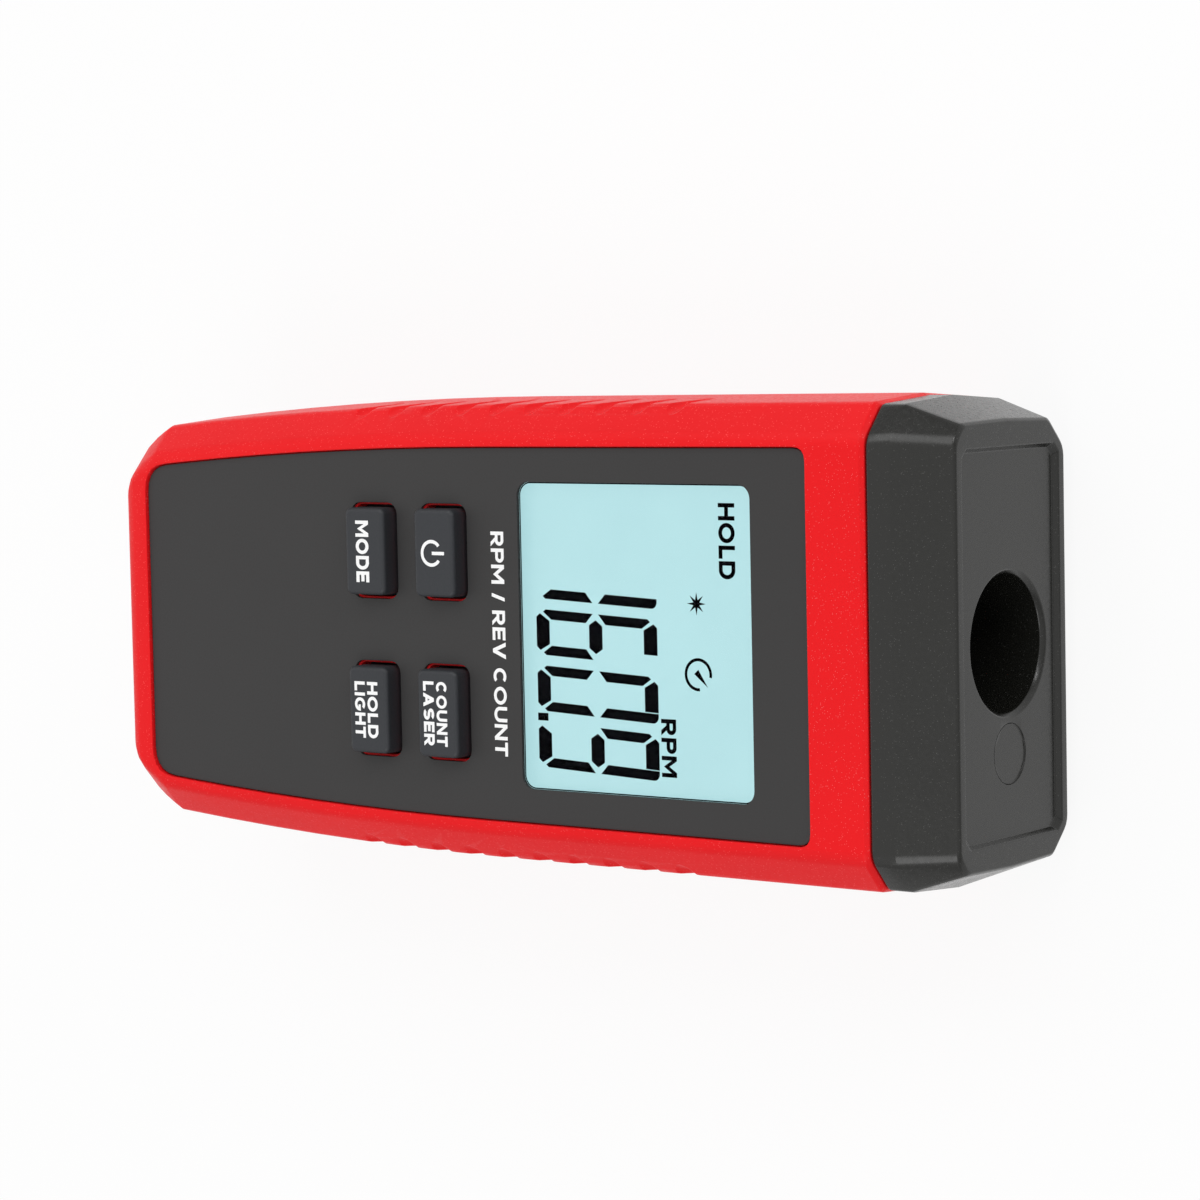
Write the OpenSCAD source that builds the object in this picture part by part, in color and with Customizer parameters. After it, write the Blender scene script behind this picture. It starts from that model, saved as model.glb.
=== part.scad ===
// Handheld laser tachometer, lying on its back with the display up.
// X runs from the tail to the sensor end, Y across the body, Z up from the back.

/* [Body] */
// Length of the red body, from the tail to the cap joint
body_len = 111.2; // [100:0.1:125]
// Widest width of the body, on the seam between the shells at the cap joint
body_w = 55.7; // [54:0.1:66]
// Height from the back to the rim round the face plate
body_h = 28.5; // [27.5:0.1:34]
// Height of the seam between the two shells above the back
seam_z = 15; // [14:0.1:17]
// Wall of the moulded shells
wall = 2; // [1.6:0.1:2.4]
// How much each side narrows for every millimetre towards the tail
flank_taper = 0.004; // [0:0.001:0.01]
// Radius of the inward curve of the sides towards the tail
flank_r = 580; // [400:10:1200]
// Length of the curved part of the sides, from the tail
flank_len = 57.7; // [40:0.1:70]
// Draft of the sides from the seam up to the front chamfer
front_draft = 0.7; // [0.3:0.05:1.2]
// Draft of the sides from the seam down to the rear chamfer
rear_draft = 0.7; // [0.3:0.05:1.2]
// Width of the front chamfer
front_ch_w = 3.7; // [2.5:0.1:4]
// Height of the front chamfer
front_ch_h = 3.4; // [2.5:0.1:4.5]
// Width of the rear chamfer
rear_ch_w = 4; // [2.5:0.1:4.5]
// Height of the rear chamfer
rear_ch_h = 4.2; // [2.5:0.1:5]
// Length of the cut corners at the tail
corner_len = 6; // [4:0.1:9]
// Width of the cut corners at the tail
corner_w = 4.3; // [2:0.1:6]
// Rounding of the tail's front and back edges
tail_r = 2.2; // [1:0.1:3]

/* [Grip] */
// Grip notches on each side
notch_count = 10; // [6:1:12]
// Distance between grip notches
notch_pitch = 5.15; // [4:0.05:5.5]
// Distance from the cap joint to the first notch
notch_start = 26.8; // [20:0.1:32]
// Radius of a notch
notch_r = 1.25; // [0.8:0.05:1.6]
// Depth of a notch at the chamfer's outer edge
notch_depth = 0.95; // [0.5:0.05:1.2]
// Lean of a notch away from the vertical, in degrees
notch_lean = 14; // [0:1:25]

/* [Face plate and display] */
// Thickness of the face plate
plate_t = 0.5; // [0.4:0.05:0.8]
// How far the plate lies below the rim
plate_drop = 0.4; // [0.2:0.05:0.6]
// Distance of the plate's sides from the chamfer's outer edge
plate_margin = 5; // [4.6:0.1:5.6]
// Distance of the plate's end from the tail
plate_tail_gap = 4.4; // [3.5:0.1:6]
// Distance of the plate's end from the cap joint
plate_head_gap = 7.8; // [6.5:0.1:9]
// Corner reach of the plate at the tail
plate_tail_r = 3.2; // [1:0.1:5]
// Corner reach of the plate at the sensor end
plate_head_r = 1.6; // [1:0.1:3]
// Clearance round the plate in its recess
plate_clear = 0.15; // [0.1:0.05:0.3]
// Length of the display window along the body
window_len = 32.8; // [28:0.1:34]
// Distance of the window's sides from the plate's sides
window_margin = 4.15; // [3.95:0.05:7]
// Corner radius of the display window
window_r = 1.6; // [1:0.1:4]
// Distance of the window from the plate's sensor end
window_head_gap = 7.5; // [6:0.1:9]
// Border of the display that the plate covers
window_lap = 1.8; // [1.4:0.1:2]
// Thickness of the clear window
window_t = 1; // [0.8:0.1:1.2]
// Thickness of one glass of the display
glass_t = 1; // [0.7:0.05:1.1]
// Thickness of the backlight
backlight_t = 3; // [2.6:0.1:3.4]

/* [Keys] */
// Size of a key across the body
key_l = 10.45; // [8:0.05:11]
// Size of a key along the body
key_w = 6; // [5:0.05:6.4]
// Height of the keys above the plate
key_proud = 2; // [1.2:0.1:3]
// Gap round each key in the face plate, where a ledge of the front shell shows
key_gap = 0.56; // [0.4:0.01:0.7]
// Travel of a key
key_travel = 0.8; // [0.4:0.05:1]
// Distance from the window to the middle of the first key column
key_col_gap = 11.15; // [9.5:0.05:13]
// Distance between the key columns along the body
key_col_pitch = 10.65; // [10:0.05:12]
// Distance between the key rows across the body
key_row_pitch = 19.08; // [16:0.02:20]

/* [Sensor cap] */
// Length of the cap in front of the joint
cap_len = 10.3; // [9:0.1:14]
// Length of the cap's straight collar
collar_len = 3.3; // [2:0.1:4]
// How far the cap lies below the red shells
cap_step = 0.25; // [0.1:0.05:0.4]
// How far the cap's sides come in towards its end
taper_side = 2.6; // [1.5:0.1:3.5]
// How far the cap's front and back come in towards its end
taper_flat = 2; // [1:0.1:2.6]
// Depth of the sunk panel in the cap's end
panel_depth = 0.68; // [0.3:0.02:1]
// Border in front of and behind the sunk panel
panel_border = 1.5; // [1.2:0.1:2.4]
// Border at the sides of the sunk panel
panel_side = 2.8; // [1.6:0.1:3.4]
// Radius of the sensor bore
bore_r = 7.75; // [6.5:0.05:8]
// Bevel at the mouth of the sensor bore
bore_bevel = 0.5; // [0.2:0.05:0.8]
// Height of the sensor axis above the back, as a share of the body's height
sensor_share = 0.495; // [0.48:0.005:0.51]
// Wall of the tube behind the sensor bore
tube_wall = 1.4; // [1:0.1:1.8]
// Depth of the sensor bore from the cap's end to the optics
bore_depth = 14.7; // [13.5:0.1:16]
// Distance of the laser and the receiver from the sensor axis
optic_offset = 3.8; // [3.6:0.05:4.2]

/* [Batteries] */
// Diameter of an AAA cell
cell_d = 10.5; // [10:0.1:10.7]
// Length of an AAA cell with its nub
cell_len = 44.5; // [43:0.1:45]
// Distance between the cells
cell_pitch = 10.8; // [10.75:0.05:11.2]
// Length of the pressed contact springs
spring_len = 4.6; // [3.5:0.1:6]
// Thickness of the battery cover's panel
cover_t = 0.9; // [0.7:0.05:1.2]
// How far the battery cover lies above the surface the body rests on
cover_rise = 0.3; // [0.2:0.05:0.5]

/* [Boards] */
// Thickness of the circuit boards
board_t = 1.6; // [1:0.1:1.6]

/* [Hidden] */
$fn = 48;
// Clearance between pieces that slide past each other
slide_gap = 0.3;
// Clearance of pieces that are pushed into each other
fit_gap = 0.15;
// Overshoot of cutting shapes
eps = 0.1;

// Stations along the body
tail_x = -(body_len + cap_len) / 2;
joint_x = tail_x + body_len;
end_x = joint_x + cap_len;
flank_x = tail_x + flank_len;
plate_tail_x = tail_x + plate_tail_gap;
plate_head_x = joint_x - plate_head_gap;
window_head_x = plate_head_x - window_head_gap;
window_tail_x = window_head_x - window_len;
window_w = body_w - 2 * (front_draft + plate_margin + window_margin);
key_col_x = [window_tail_x - key_col_gap, window_tail_x - key_col_gap - key_col_pitch];
key_row_y = key_row_pitch / 2;

// Levels, from the rim down to the main board
rim_z = body_h;
sensor_z = sensor_share * body_h;
plate_z = rim_z - plate_drop - plate_t;
ceiling_z = plate_z - wall;
glass_z = plate_z - window_t - 2 * glass_t;
board_top_z = glass_z - backlight_t;
board_z = board_top_z - board_t;

// Rounding of the body's long edges and of the shells at the cap joint
edge_reach = 0.5;
rim_reach = 1;
joint_round = 0.35;
joint_round_len = 0.6;
flank_steps = 7;

// Corner radius of the hidden opening under the face plate
opening_r = 0.6;

// Depth of a grip notch's line at the seam: below zero, so that the notch runs out above it
notch_foot = -0.8;

// Lip of the rear shell inside the front shell
lip_h = 1;
lip_outer = 1.1;
lip_clear = 0.15;

// Spigot of the cap inside the shells
spigot_len = 3.2;
spigot_wall = 1.4;
end_wall = 1.8;
end_front_ch = 1.9;
end_back_ch = 3.1;
end_draft = 0.25;
cap_edge = 0.35;
disc_r = 3.4;
disc_depth = 0.15;
disc_offset = 12.3;
panel_corner = 1;
panel_slope = 0.5;

// Keys, web and pills under the front wall
key_r = 0.85;
key_edge = 0.55;
flange_lap = 1.28;
flange_reach = slide_gap + flange_lap;
flange_t = 1.2;
flange_drop = 0.15;
plunger_r = 2.2;
pill_r = 2;
pill_t = 0.5;
pill_gap = 0.15;
web_t = 0.8;
web_hole_r = 3.2;
skirt_t = 0.6;
web_border = 3;
web_side = 1;
flange_z = ceiling_z - flange_drop - flange_t;
pill_z = board_top_z + key_travel + pill_gap;

// Battery bay and cover in the rear shell
contact_t = 0.4;
contact_w = 8.6;
bay_tail_gap = 6.75;
bay_wall = 1.2;
cell_clear = 0.35;
bay_side = cell_pitch + cell_d / 2 + cell_clear;
bay_tail_x = tail_x + bay_tail_gap;
bay_head_x = bay_tail_x + 2 * contact_t + spring_len + cell_len;
tongue_t = 0.9;
tongue_w = 0.6;
tongue_head = 0.9;
cover_lap = 0.5;
cover_half = bay_side + cover_lap;
cover_head_x = bay_head_x + bay_wall;
tongue_z = cover_rise + cover_t;
cover_top_z = tongue_z + tongue_t;
slot_top_z = cover_top_z + slide_gap;
cell_z = cover_top_z + slide_gap + cell_d / 2;
bay_top_z = cell_z + cell_d / 2 + slide_gap;
rail_w = 2.8;
rail_h = 4.5;
divider_w = 1;
divider_h = 2.8;
divider_end = contact_t + slide_gap;
grip_rib_count = 6;
grip_rib_pitch = 2;
grip_rib_w = 1;
grip_rib_depth = 0.4;
grip_rib_len = 14;
grip_rib_start = 9;

// Screws
boss_r = 2.8;
board_boss_r = 1.9;
screw_r = 1.1;
screw_clear_r = 1.3;
screw_head_r = 1.8;
screw_head_h = 1.5;
counterbore_r = 2;
screw_seat_z = 5;
screw_len = 14;
hole_spare = 1;
head_boss_inset = 8.35;
tail_boss_gap = 44.7;
counterbore_wall = 0.7;
case_screw_side = cover_half + tongue_w + slide_gap + counterbore_r + counterbore_wall;
case_screw_xy = [
    for (s = [-1, 1]) [joint_x - spigot_len - boss_r - slide_gap, s * (body_w / 2 - head_boss_inset)],
    for (s = [-1, 1]) [tail_x + tail_boss_gap, s * case_screw_side]
];
board_screw_r = 0.9;
board_screw_len = 3.4;
board_screw_head_r = 1.6;
board_screw_head_h = 1;

// Optics behind the sensor bore
tube_r = bore_r + tube_wall;
optic_x = end_x - bore_depth;
plug_len = 4;
flange_len = 2.4;
holder_x = optic_x - plug_len - flange_len;
sensor_board_x = holder_x - board_t;
laser_r = 3;
laser_len = 13.5;
laser_back = 0.5;
laser_lens_r = 2;
laser_lens_t = 1;
lens_r = 3;
lens_rim = 1;
lens_dome = 0.7;
diode_r = 2.4;
diode_len = 3.4;
diode_tip = 1;
shaft_gap = 0.05;
sensor_board_half = 9;
sensor_board_h = 13.4;
header_len = 2.5;
header_w = 8;
header_h = 2.5;
header_side = 1;

// Main board, up to the sensor holder
board_tail_gap = 16.8;
board_gap = 0.2;
board_edge = 2;
board_shoulder = 2.5;
key_edge_gap = 2.4;
tail_hole_x = 4;
tail_hole_y = 3.7;
boss_gap = 0.5;
board_tail_x = tail_x + board_tail_gap;
board_head_x = holder_x - board_gap;
board_step_x = window_tail_x - window_lap - board_shoulder;
board_tail_half = key_row_y + key_l / 2 + key_edge_gap;
board_boss_y = window_w / 2 + window_lap + board_boss_r + boss_gap;
board_head_half = board_boss_y + board_edge;
board_screw_xy = [
    for (s = [-1, 1]) [board_tail_x + tail_hole_x, s * (board_tail_half - tail_hole_y)],
    for (s = [-1, 1]) [(window_tail_x + window_head_x) / 2, s * board_boss_y]
];

// Plain geometry

function unit(v) = v / norm(v);
function mix(a, b, t) = a + (b - a) * t;

// Points that round the corner b of the path a, b, c
function soft(a, b, c, reach, n) =
    let (s = b + unit(a - b) * reach, e = b + unit(c - b) * reach)
    [for (i = [0:n]) let (t = i / n) (1 - t) ^ 2 * s + 2 * t * (1 - t) * b + t ^ 2 * e];

// Rounded rectangle of size l along X and w along Y
function round_rect(l, w, r, n = 4) = [
    for (q = [[1, 1, 0], [-1, 1, 90], [-1, -1, 180], [1, -1, 270]], i = [0:n])
        let (a = q.z + 90 * i / n)
        [q.x * (l / 2 - r) + r * cos(a), q.y * (w / 2 - r) + r * sin(a)]
];

function ring_x(x, pts) = [for (p = pts) [x, p.x, p.y]];
function ring_z(z, pts) = [for (p = pts) [p.x, p.y, z]];

// Skin over rings of equal point count that turn left as seen from the far end
module loft(rings) {
    n = len(rings[0]);
    last = len(rings) - 1;
    polyhedron(
        points = [for (r = rings) each r],
        faces = concat(
            [[for (j = [0:n - 1]) j]],
            [[for (j = [n - 1:-1:0]) last * n + j]],
            [for (i = [0:last - 1], j = [0:n - 1])
                let (k = (j + 1) % n)
                each [[i * n + j, (i + 1) * n + j, (i + 1) * n + k], [i * n + j, (i + 1) * n + k, i * n + k]]]
        )
    );
}

module along_x(x, y, z) {
    translate([x, y, z]) rotate([0, 90, 0]) children();
}

module box(lo, hi) {
    translate(lo) cube(hi - lo);
}

// Plan of the body

function flank(x) =
    let (d = max(0, flank_x - x))
    body_w / 2 - flank_taper * (joint_x - x) - flank_r + sqrt(flank_r ^ 2 - d ^ 2);
function corner_cut(x) =
    let (s = max(0, (tail_x + corner_len - x) / corner_len))
    corner_w * (0.6 * s + 0.4 * s ^ 3);
function half_w(x) = flank(x) - corner_cut(x);
function tail_drop(x) =
    let (d = max(0, tail_x + tail_r - x))
    tail_r - sqrt(max(0, tail_r ^ 2 - d ^ 2));

tail_steps = [for (a = [0:22.5:90]) tail_x + tail_r * (1 - cos(a))];
corner_steps = [for (i = [1:3]) mix(tail_x + tail_r, tail_x + corner_len, i / 3)];
side_steps = [for (i = [1:flank_steps]) mix(tail_x + corner_len, flank_x, i / flank_steps)];

// Outline of the body on the seam, moved inwards
function plan(inset, head_x) =
    let (
        xs = concat([tail_x + inset], corner_steps, side_steps, [head_x]),
        side = [for (x = xs) [x, half_w(x) - inset]]
    )
    concat(side, [for (i = [len(side) - 1:-1:0]) [side[i].x, -side[i].y]]);

// Cross sections of the body, seen from the sensor end

function both_sides(right) = concat(right, [for (i = [len(right) - 1:-1:0]) [-right[i].x, right[i].y]]);
function from_left(ring) = [for (i = [len(ring) - 1:-1:0]) ring[i]];

// Upper half from the seam to the rim, and lower half from the seam to the back
function upper(hw, top, draft, ch_w, ch_h) =
    let (
        seam = [hw, seam_z],
        edge = [hw - draft, top - ch_h],
        rim = [hw - draft - ch_w, top]
    )
    both_sides(concat(
        [seam],
        soft(seam, edge, rim, edge_reach, 2),
        soft(edge, rim, [0, top], rim_reach, 3)
    ));
function lower(hw, bottom, draft, ch_w, ch_h) =
    let (
        seam = [hw, seam_z],
        edge = [hw - draft, bottom + ch_h],
        foot = [hw - draft - ch_w, bottom]
    )
    from_left(both_sides(concat(
        [seam],
        soft(seam, edge, foot, edge_reach, 2),
        soft(edge, foot, [0, bottom], rim_reach, 3)
    )));

// The same halves one wall further in, with a flat ceiling or floor
function chamfer_shift(ch_w, ch_h, w) = w * norm([ch_w, ch_h]) / ch_h;
function upper_in(hw, ceiling, w, base) =
    let (
        slope = front_ch_h / front_ch_w,
        rim_y = hw - front_draft - front_ch_w - chamfer_shift(front_ch_w, front_ch_h, w),
        side_y = hw - front_draft - w
    )
    both_sides([
        [hw - w, base],
        [side_y, rim_z - (side_y - rim_y) * slope],
        [rim_y + (rim_z - ceiling) / slope, ceiling]
    ]);
function lower_in(hw, floor_z, w, base) =
    let (
        slope = rear_ch_h / rear_ch_w,
        foot_y = hw - rear_draft - rear_ch_w - chamfer_shift(rear_ch_w, rear_ch_h, w),
        side_y = hw - rear_draft - w
    )
    from_left(both_sides([
        [hw - w, base],
        [side_y, (side_y - foot_y) * slope],
        [foot_y + floor_z / slope, floor_z]
    ]));

module body_upper() {
    loft(concat(
        [for (x = concat(tail_steps, corner_steps, side_steps, [joint_x - joint_round_len]))
            ring_x(x, upper(half_w(x), rim_z - tail_drop(x), front_draft, front_ch_w, front_ch_h))],
        [ring_x(joint_x, upper(half_w(joint_x) - joint_round, rim_z - joint_round,
            front_draft, front_ch_w, front_ch_h))]
    ));
}

module body_lower() {
    loft(concat(
        [for (x = concat(tail_steps, corner_steps, side_steps, [joint_x - joint_round_len]))
            ring_x(x, lower(half_w(x), tail_drop(x), rear_draft, rear_ch_w, rear_ch_h))],
        [ring_x(joint_x, lower(half_w(joint_x) - joint_round, joint_round,
            rear_draft, rear_ch_w, rear_ch_h))]
    ));
}

function cavity_steps() = concat([tail_x + wall], corner_steps, side_steps, [joint_x + eps]);

module cavity_upper() {
    loft([for (x = cavity_steps()) ring_x(x, upper_in(half_w(x), ceiling_z, wall, seam_z - eps))]);
}

module cavity_lower() {
    loft([for (x = cavity_steps()) ring_x(x, lower_in(half_w(x), wall, wall, seam_z + eps))]);
}

// Face plate outline, grown for its recess
function plate_half(x) = flank(x) - front_draft - plate_margin;
function plate_outline(grow) =
    let (
        x0 = plate_tail_x - grow,
        x1 = plate_head_x + grow,
        head = [x1, plate_half(x1) + grow],
        tail = [x0, plate_half(x0) + grow],
        xs = [for (i = [0:flank_steps]) mix(flank_x, x0 + plate_tail_r + 2, i / flank_steps)],
        side = [for (x = xs) [x, plate_half(x) + grow]],
        half = concat(
            soft([x1, 0], head, side[0], plate_head_r, 4),
            side,
            soft(side[flank_steps], tail, [x0, 0], plate_tail_r, 5)
        )
    )
    concat(half, [for (i = [len(half) - 1:-1:0]) [half[i].x, -half[i].y]]);

module window_shape(grow, r) {
    translate([(window_tail_x + window_head_x) / 2, 0])
        polygon(round_rect(window_len + 2 * grow, window_w + 2 * grow, r, 8));
}

module each_key() {
    for (x = key_col_x, s = [-1, 1])
        translate([x, s * key_row_y]) children();
}

module key_openings(gap) {
    each_key() polygon(round_rect(key_w + 2 * gap, key_l + 2 * gap, key_r + gap));
}

// Each notch is a round scoop that grows shallower from the chamfer down and ends above the seam
notch_tilt = atan((front_draft + notch_depth - notch_foot) / (rim_z - front_ch_h - seam_z));
module grip_notches() {
    for (i = [0:notch_count - 1], s = [-1, 1]) {
        x = joint_x - notch_start - i * notch_pitch;
        y = half_w(x) - front_draft + notch_r - notch_depth;
        translate([x, s * y, rim_z - front_ch_h])
            rotate([s * notch_tilt, -notch_lean, 0])
                translate([0, 0, seam_z - rim_z])
                    cylinder(r = notch_r, h = 2 * (rim_z - seam_z));
    }
}

// Shells

module front_shell() color("crimson") difference() {
    union() {
        difference() {
            body_upper();
            cavity_upper();
            translate([0, 0, seam_z - eps]) linear_extrude(lip_h + lip_clear + eps)
                polygon(plan(lip_outer - lip_clear, joint_x + eps));
            translate([0, 0, plate_z]) linear_extrude(rim_z - plate_z + eps)
                polygon(plate_outline(plate_clear));
            translate([0, 0, ceiling_z - eps]) linear_extrude(wall + 2 * eps) {
                window_shape(window_lap, opening_r);
                key_openings(slide_gap);
            }
            grip_notches();
        }
        for (p = case_screw_xy)
            translate([p.x, p.y, seam_z]) cylinder(r = boss_r, h = ceiling_z - seam_z + eps);
        for (p = board_screw_xy)
            translate([p.x, p.y, board_top_z]) cylinder(r = board_boss_r, h = ceiling_z - board_top_z + eps);
    }
    for (p = case_screw_xy)
        translate([p.x, p.y, seam_z - eps])
            cylinder(r = screw_r + shaft_gap, h = screw_seat_z + screw_len + hole_spare - seam_z + eps);
    for (p = board_screw_xy)
        translate([p.x, p.y, board_top_z - eps])
            cylinder(r = board_screw_r + shaft_gap, h = board_screw_len - board_t + hole_spare / 2 + eps);
}

// Space of the battery cover, grown by its running clearance
module cover_space(gap, low, high) {
    box([tail_x - eps, -cover_half - gap, low], [cover_head_x + gap, cover_half + gap, tongue_z + eps]);
    box([tail_x - eps, -cover_half - tongue_w - gap, tongue_z - min(gap, fit_gap)],
        [cover_head_x + tongue_head + gap, cover_half + tongue_w + gap, high]);
}

module rear_shell() color("firebrick") difference() {
    union() {
        difference() {
            body_lower();
            cavity_lower();
        }
        translate([0, 0, seam_z - lip_h]) linear_extrude(2 * lip_h) difference() {
            polygon(plan(lip_outer, joint_x - spigot_len - slide_gap));
            polygon(plan(wall, joint_x + eps));
        }
        box([bay_tail_x - bay_wall, -bay_side - bay_wall, wall / 2],
            [bay_head_x + bay_wall, bay_side + bay_wall, bay_top_z + bay_wall]);
        box([bay_tail_x - bay_wall, -bay_side - rail_w, wall / 2],
            [bay_head_x + rail_w, bay_side + rail_w, rail_h]);
        for (p = case_screw_xy)
            translate([p.x, p.y, wall / 2]) cylinder(r = boss_r, h = seam_z - wall / 2);
    }
    difference() {
        box([bay_tail_x, -bay_side, -eps], [bay_head_x, bay_side, bay_top_z]);
        for (s = [-1, 1])
            box([bay_tail_x + divider_end, s * cell_pitch / 2 - divider_w / 2, bay_top_z - divider_h],
                [bay_head_x - divider_end, s * cell_pitch / 2 + divider_w / 2, bay_top_z + eps]);
    }
    cover_space(slide_gap, -eps, slot_top_z);
    for (p = case_screw_xy) {
        translate([p.x, p.y, -eps]) cylinder(r = counterbore_r, h = screw_seat_z + eps);
        translate([p.x, p.y, -eps]) cylinder(r = screw_clear_r, h = seam_z + 2 * eps);
    }
}

module battery_cover() color("firebrick") difference() {
    intersection() {
        body_lower();
        cover_space(0, cover_rise, cover_top_z);
    }
    for (i = [0:grip_rib_count - 1]) {
        x = tail_x + grip_rib_start + i * grip_rib_pitch;
        box([x, -grip_rib_len / 2, cover_rise - eps],
            [x + grip_rib_w, grip_rib_len / 2, cover_rise + grip_rib_depth]);
    }
}

// Sensor cap

joint_hw = half_w(joint_x);

// Full section from an upper and a lower half that share their seam points
function whole(up, low) = concat(up, [for (i = [1:len(low) - 2]) low[i]]);
function collar_ring(x, inset) =
    let (hw = joint_hw - cap_step - inset, low = cap_step + inset)
    ring_x(x, whole(
        upper(hw, rim_z - low, front_draft, front_ch_w, front_ch_h),
        lower(hw, low, rear_draft, rear_ch_w, rear_ch_h)));
function end_ring(x, inset) =
    let (hw = joint_hw - cap_step - taper_side - inset, low = cap_step + taper_flat + inset)
    ring_x(x, whole(
        upper(hw, rim_z - low, end_draft, end_front_ch, end_front_ch * front_ch_h / front_ch_w),
        lower(hw, low, end_draft, end_back_ch, end_back_ch * rear_ch_h / rear_ch_w)));
function socket(w) = whole(
    upper_in(joint_hw, ceiling_z - w, wall + w, seam_z),
    lower_in(joint_hw, wall + w, wall + w, seam_z));

// Rectangle with cut corners, this far in from the sides and the flats of the cap's end
function end_octagon(side, flat, c) =
    let (
        hw = joint_hw - cap_step - taper_side - end_draft - side,
        low = cap_step + taper_flat + flat,
        high = rim_z - low
    )
    [[hw - c, low], [hw, low + c], [hw, high - c], [hw - c, high],
        [c - hw, high], [-hw, high - c], [-hw, low + c], [c - hw, low]];

module prism_x(x0, x1, pts) {
    translate([x0, 0, 0]) rotate([90, 0, 90]) linear_extrude(x1 - x0) polygon(pts);
}

// Sunk panel with sloped walls, whose mouth is grown past the end face by the overshoot
module end_panel() {
    over = panel_slope * eps / panel_depth;
    floor_pts = end_octagon(panel_side + panel_slope, panel_border + panel_slope, panel_corner);
    mouth_pts = end_octagon(panel_side - over, panel_border - over, panel_corner);
    loft([ring_x(end_x - panel_depth, floor_pts), ring_x(end_x + eps, mouth_pts)]);
}

// The cap is hollow behind its end wall, and its spigot fits inside both shells
module sensor_cap() color("dimgray") difference() {
    union() {
        difference() {
            union() {
                loft([
                    collar_ring(joint_x, cap_edge),
                    collar_ring(joint_x + cap_edge, 0),
                    collar_ring(joint_x + collar_len, 0),
                    end_ring(end_x - cap_edge, 0),
                    end_ring(end_x, cap_edge)
                ]);
                prism_x(joint_x - spigot_len, joint_x + collar_len / 2, socket(fit_gap));
            }
            prism_x(joint_x - spigot_len - eps, joint_x + collar_len / 2, socket(fit_gap + spigot_wall));
            prism_x(joint_x, end_x - panel_depth - end_wall, end_octagon(wall, wall, end_back_ch));
        }
        along_x(optic_x - plug_len, 0, sensor_z)
            cylinder(r = tube_r, h = bore_depth + plug_len - panel_depth - end_wall / 2);
    }
    along_x(optic_x - plug_len - eps, 0, sensor_z) cylinder(r = bore_r, h = bore_depth + plug_len + 2 * eps);
    along_x(end_x - panel_depth - bore_bevel - eps, 0, sensor_z)
        cylinder(r1 = bore_r - eps, r2 = bore_r + bore_bevel + eps, h = bore_bevel + 2 * eps);
    end_panel();
    along_x(end_x - panel_depth - disc_depth, -disc_offset, sensor_z) cylinder(r = disc_r, h = panel_depth);
}

// Face plate and display

module face_plate() color([0.27, 0.27, 0.27]) translate([0, 0, plate_z]) linear_extrude(plate_t)
    difference() {
        polygon(plate_outline(0));
        window_shape(0, window_r);
        key_openings(key_gap);
    }

module display_window() color([0.8, 0.9, 0.92, 0.4]) translate([0, 0, plate_z - window_t])
    linear_extrude(window_t) window_shape(window_lap - fit_gap, opening_r);

// Glass of the display: the front glass overhangs the rear one over the connector strip
strip_w = 2.4;
strip_end = 1;
display_half = window_w / 2 + window_lap - 2 * fit_gap;
display_tail_x = window_tail_x - window_lap + 2 * fit_gap;
display_head_x = window_head_x + window_lap - 2 * fit_gap;
ledge_x = display_tail_x + strip_w + slide_gap;

module lcd_glass() color([0.72, 0.89, 0.91]) {
    box([display_tail_x, -display_half, glass_z + glass_t],
        [display_head_x, display_half, glass_z + 2 * glass_t]);
    box([ledge_x, -display_half, glass_z], [display_head_x, display_half, glass_z + glass_t]);
}

// Light guide in a shallow tray, with a notch for its lamp at the sensor end
tray_wall = 0.8;
lamp_notch = [1.2, 8, 1.6];
module lcd_backlight() color("white") difference() {
    box([ledge_x, -display_half + tray_wall, board_top_z],
        [display_head_x - tray_wall, display_half - tray_wall, glass_z]);
    translate([display_head_x - tray_wall - lamp_notch.x, -lamp_notch.y / 2, board_top_z - eps])
        cube(lamp_notch + [1, 0, eps]);
}

module connector_strip() color("pink")
    box([display_tail_x, strip_end - display_half, board_top_z],
        [display_tail_x + strip_w, display_half - strip_end, glass_z + glass_t]);

// Boards

module main_board() color("darkgreen") translate([0, 0, board_z]) linear_extrude(board_t)
    difference() {
        union() {
            translate([board_tail_x, -board_tail_half])
                square([board_step_x - board_tail_x + eps, 2 * board_tail_half]);
            translate([board_step_x, -board_head_half])
                square([board_head_x - board_step_x, 2 * board_head_half]);
        }
        for (p = board_screw_xy) translate(p) circle(r = board_screw_r + 2 * fit_gap);
    }

chip_size = [10, 10, 1.2];
chip_leads = 8;
chip_lead = [1, 0.4, 0.3];
chip_lead_pitch = 1.1;
chip_dot_r = 0.5;
chip_dot_depth = 0.2;
chip_dot_edge = 1.5;
module processor_chip() color([0.15, 0.15, 0.16])
    translate([(window_tail_x + window_head_x) / 2, 0, board_z - chip_size.z]) {
        difference() {
            translate([-chip_size.x / 2, -chip_size.y / 2, 0]) cube(chip_size);
            translate([chip_dot_edge - chip_size.x / 2, chip_dot_edge - chip_size.y / 2, -eps])
                cylinder(r = chip_dot_r, h = chip_dot_depth + eps);
        }
        for (side = [0:90:270], i = [0:chip_leads - 1]) rotate(side)
            translate([chip_size.x / 2 - eps, (i - (chip_leads - 1) / 2) * chip_lead_pitch - chip_lead.y / 2,
                chip_size.z - chip_lead.z])
                cube(chip_lead);
    }

// Keypad: silicone web on the board, and keys that rise through the front wall

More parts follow.
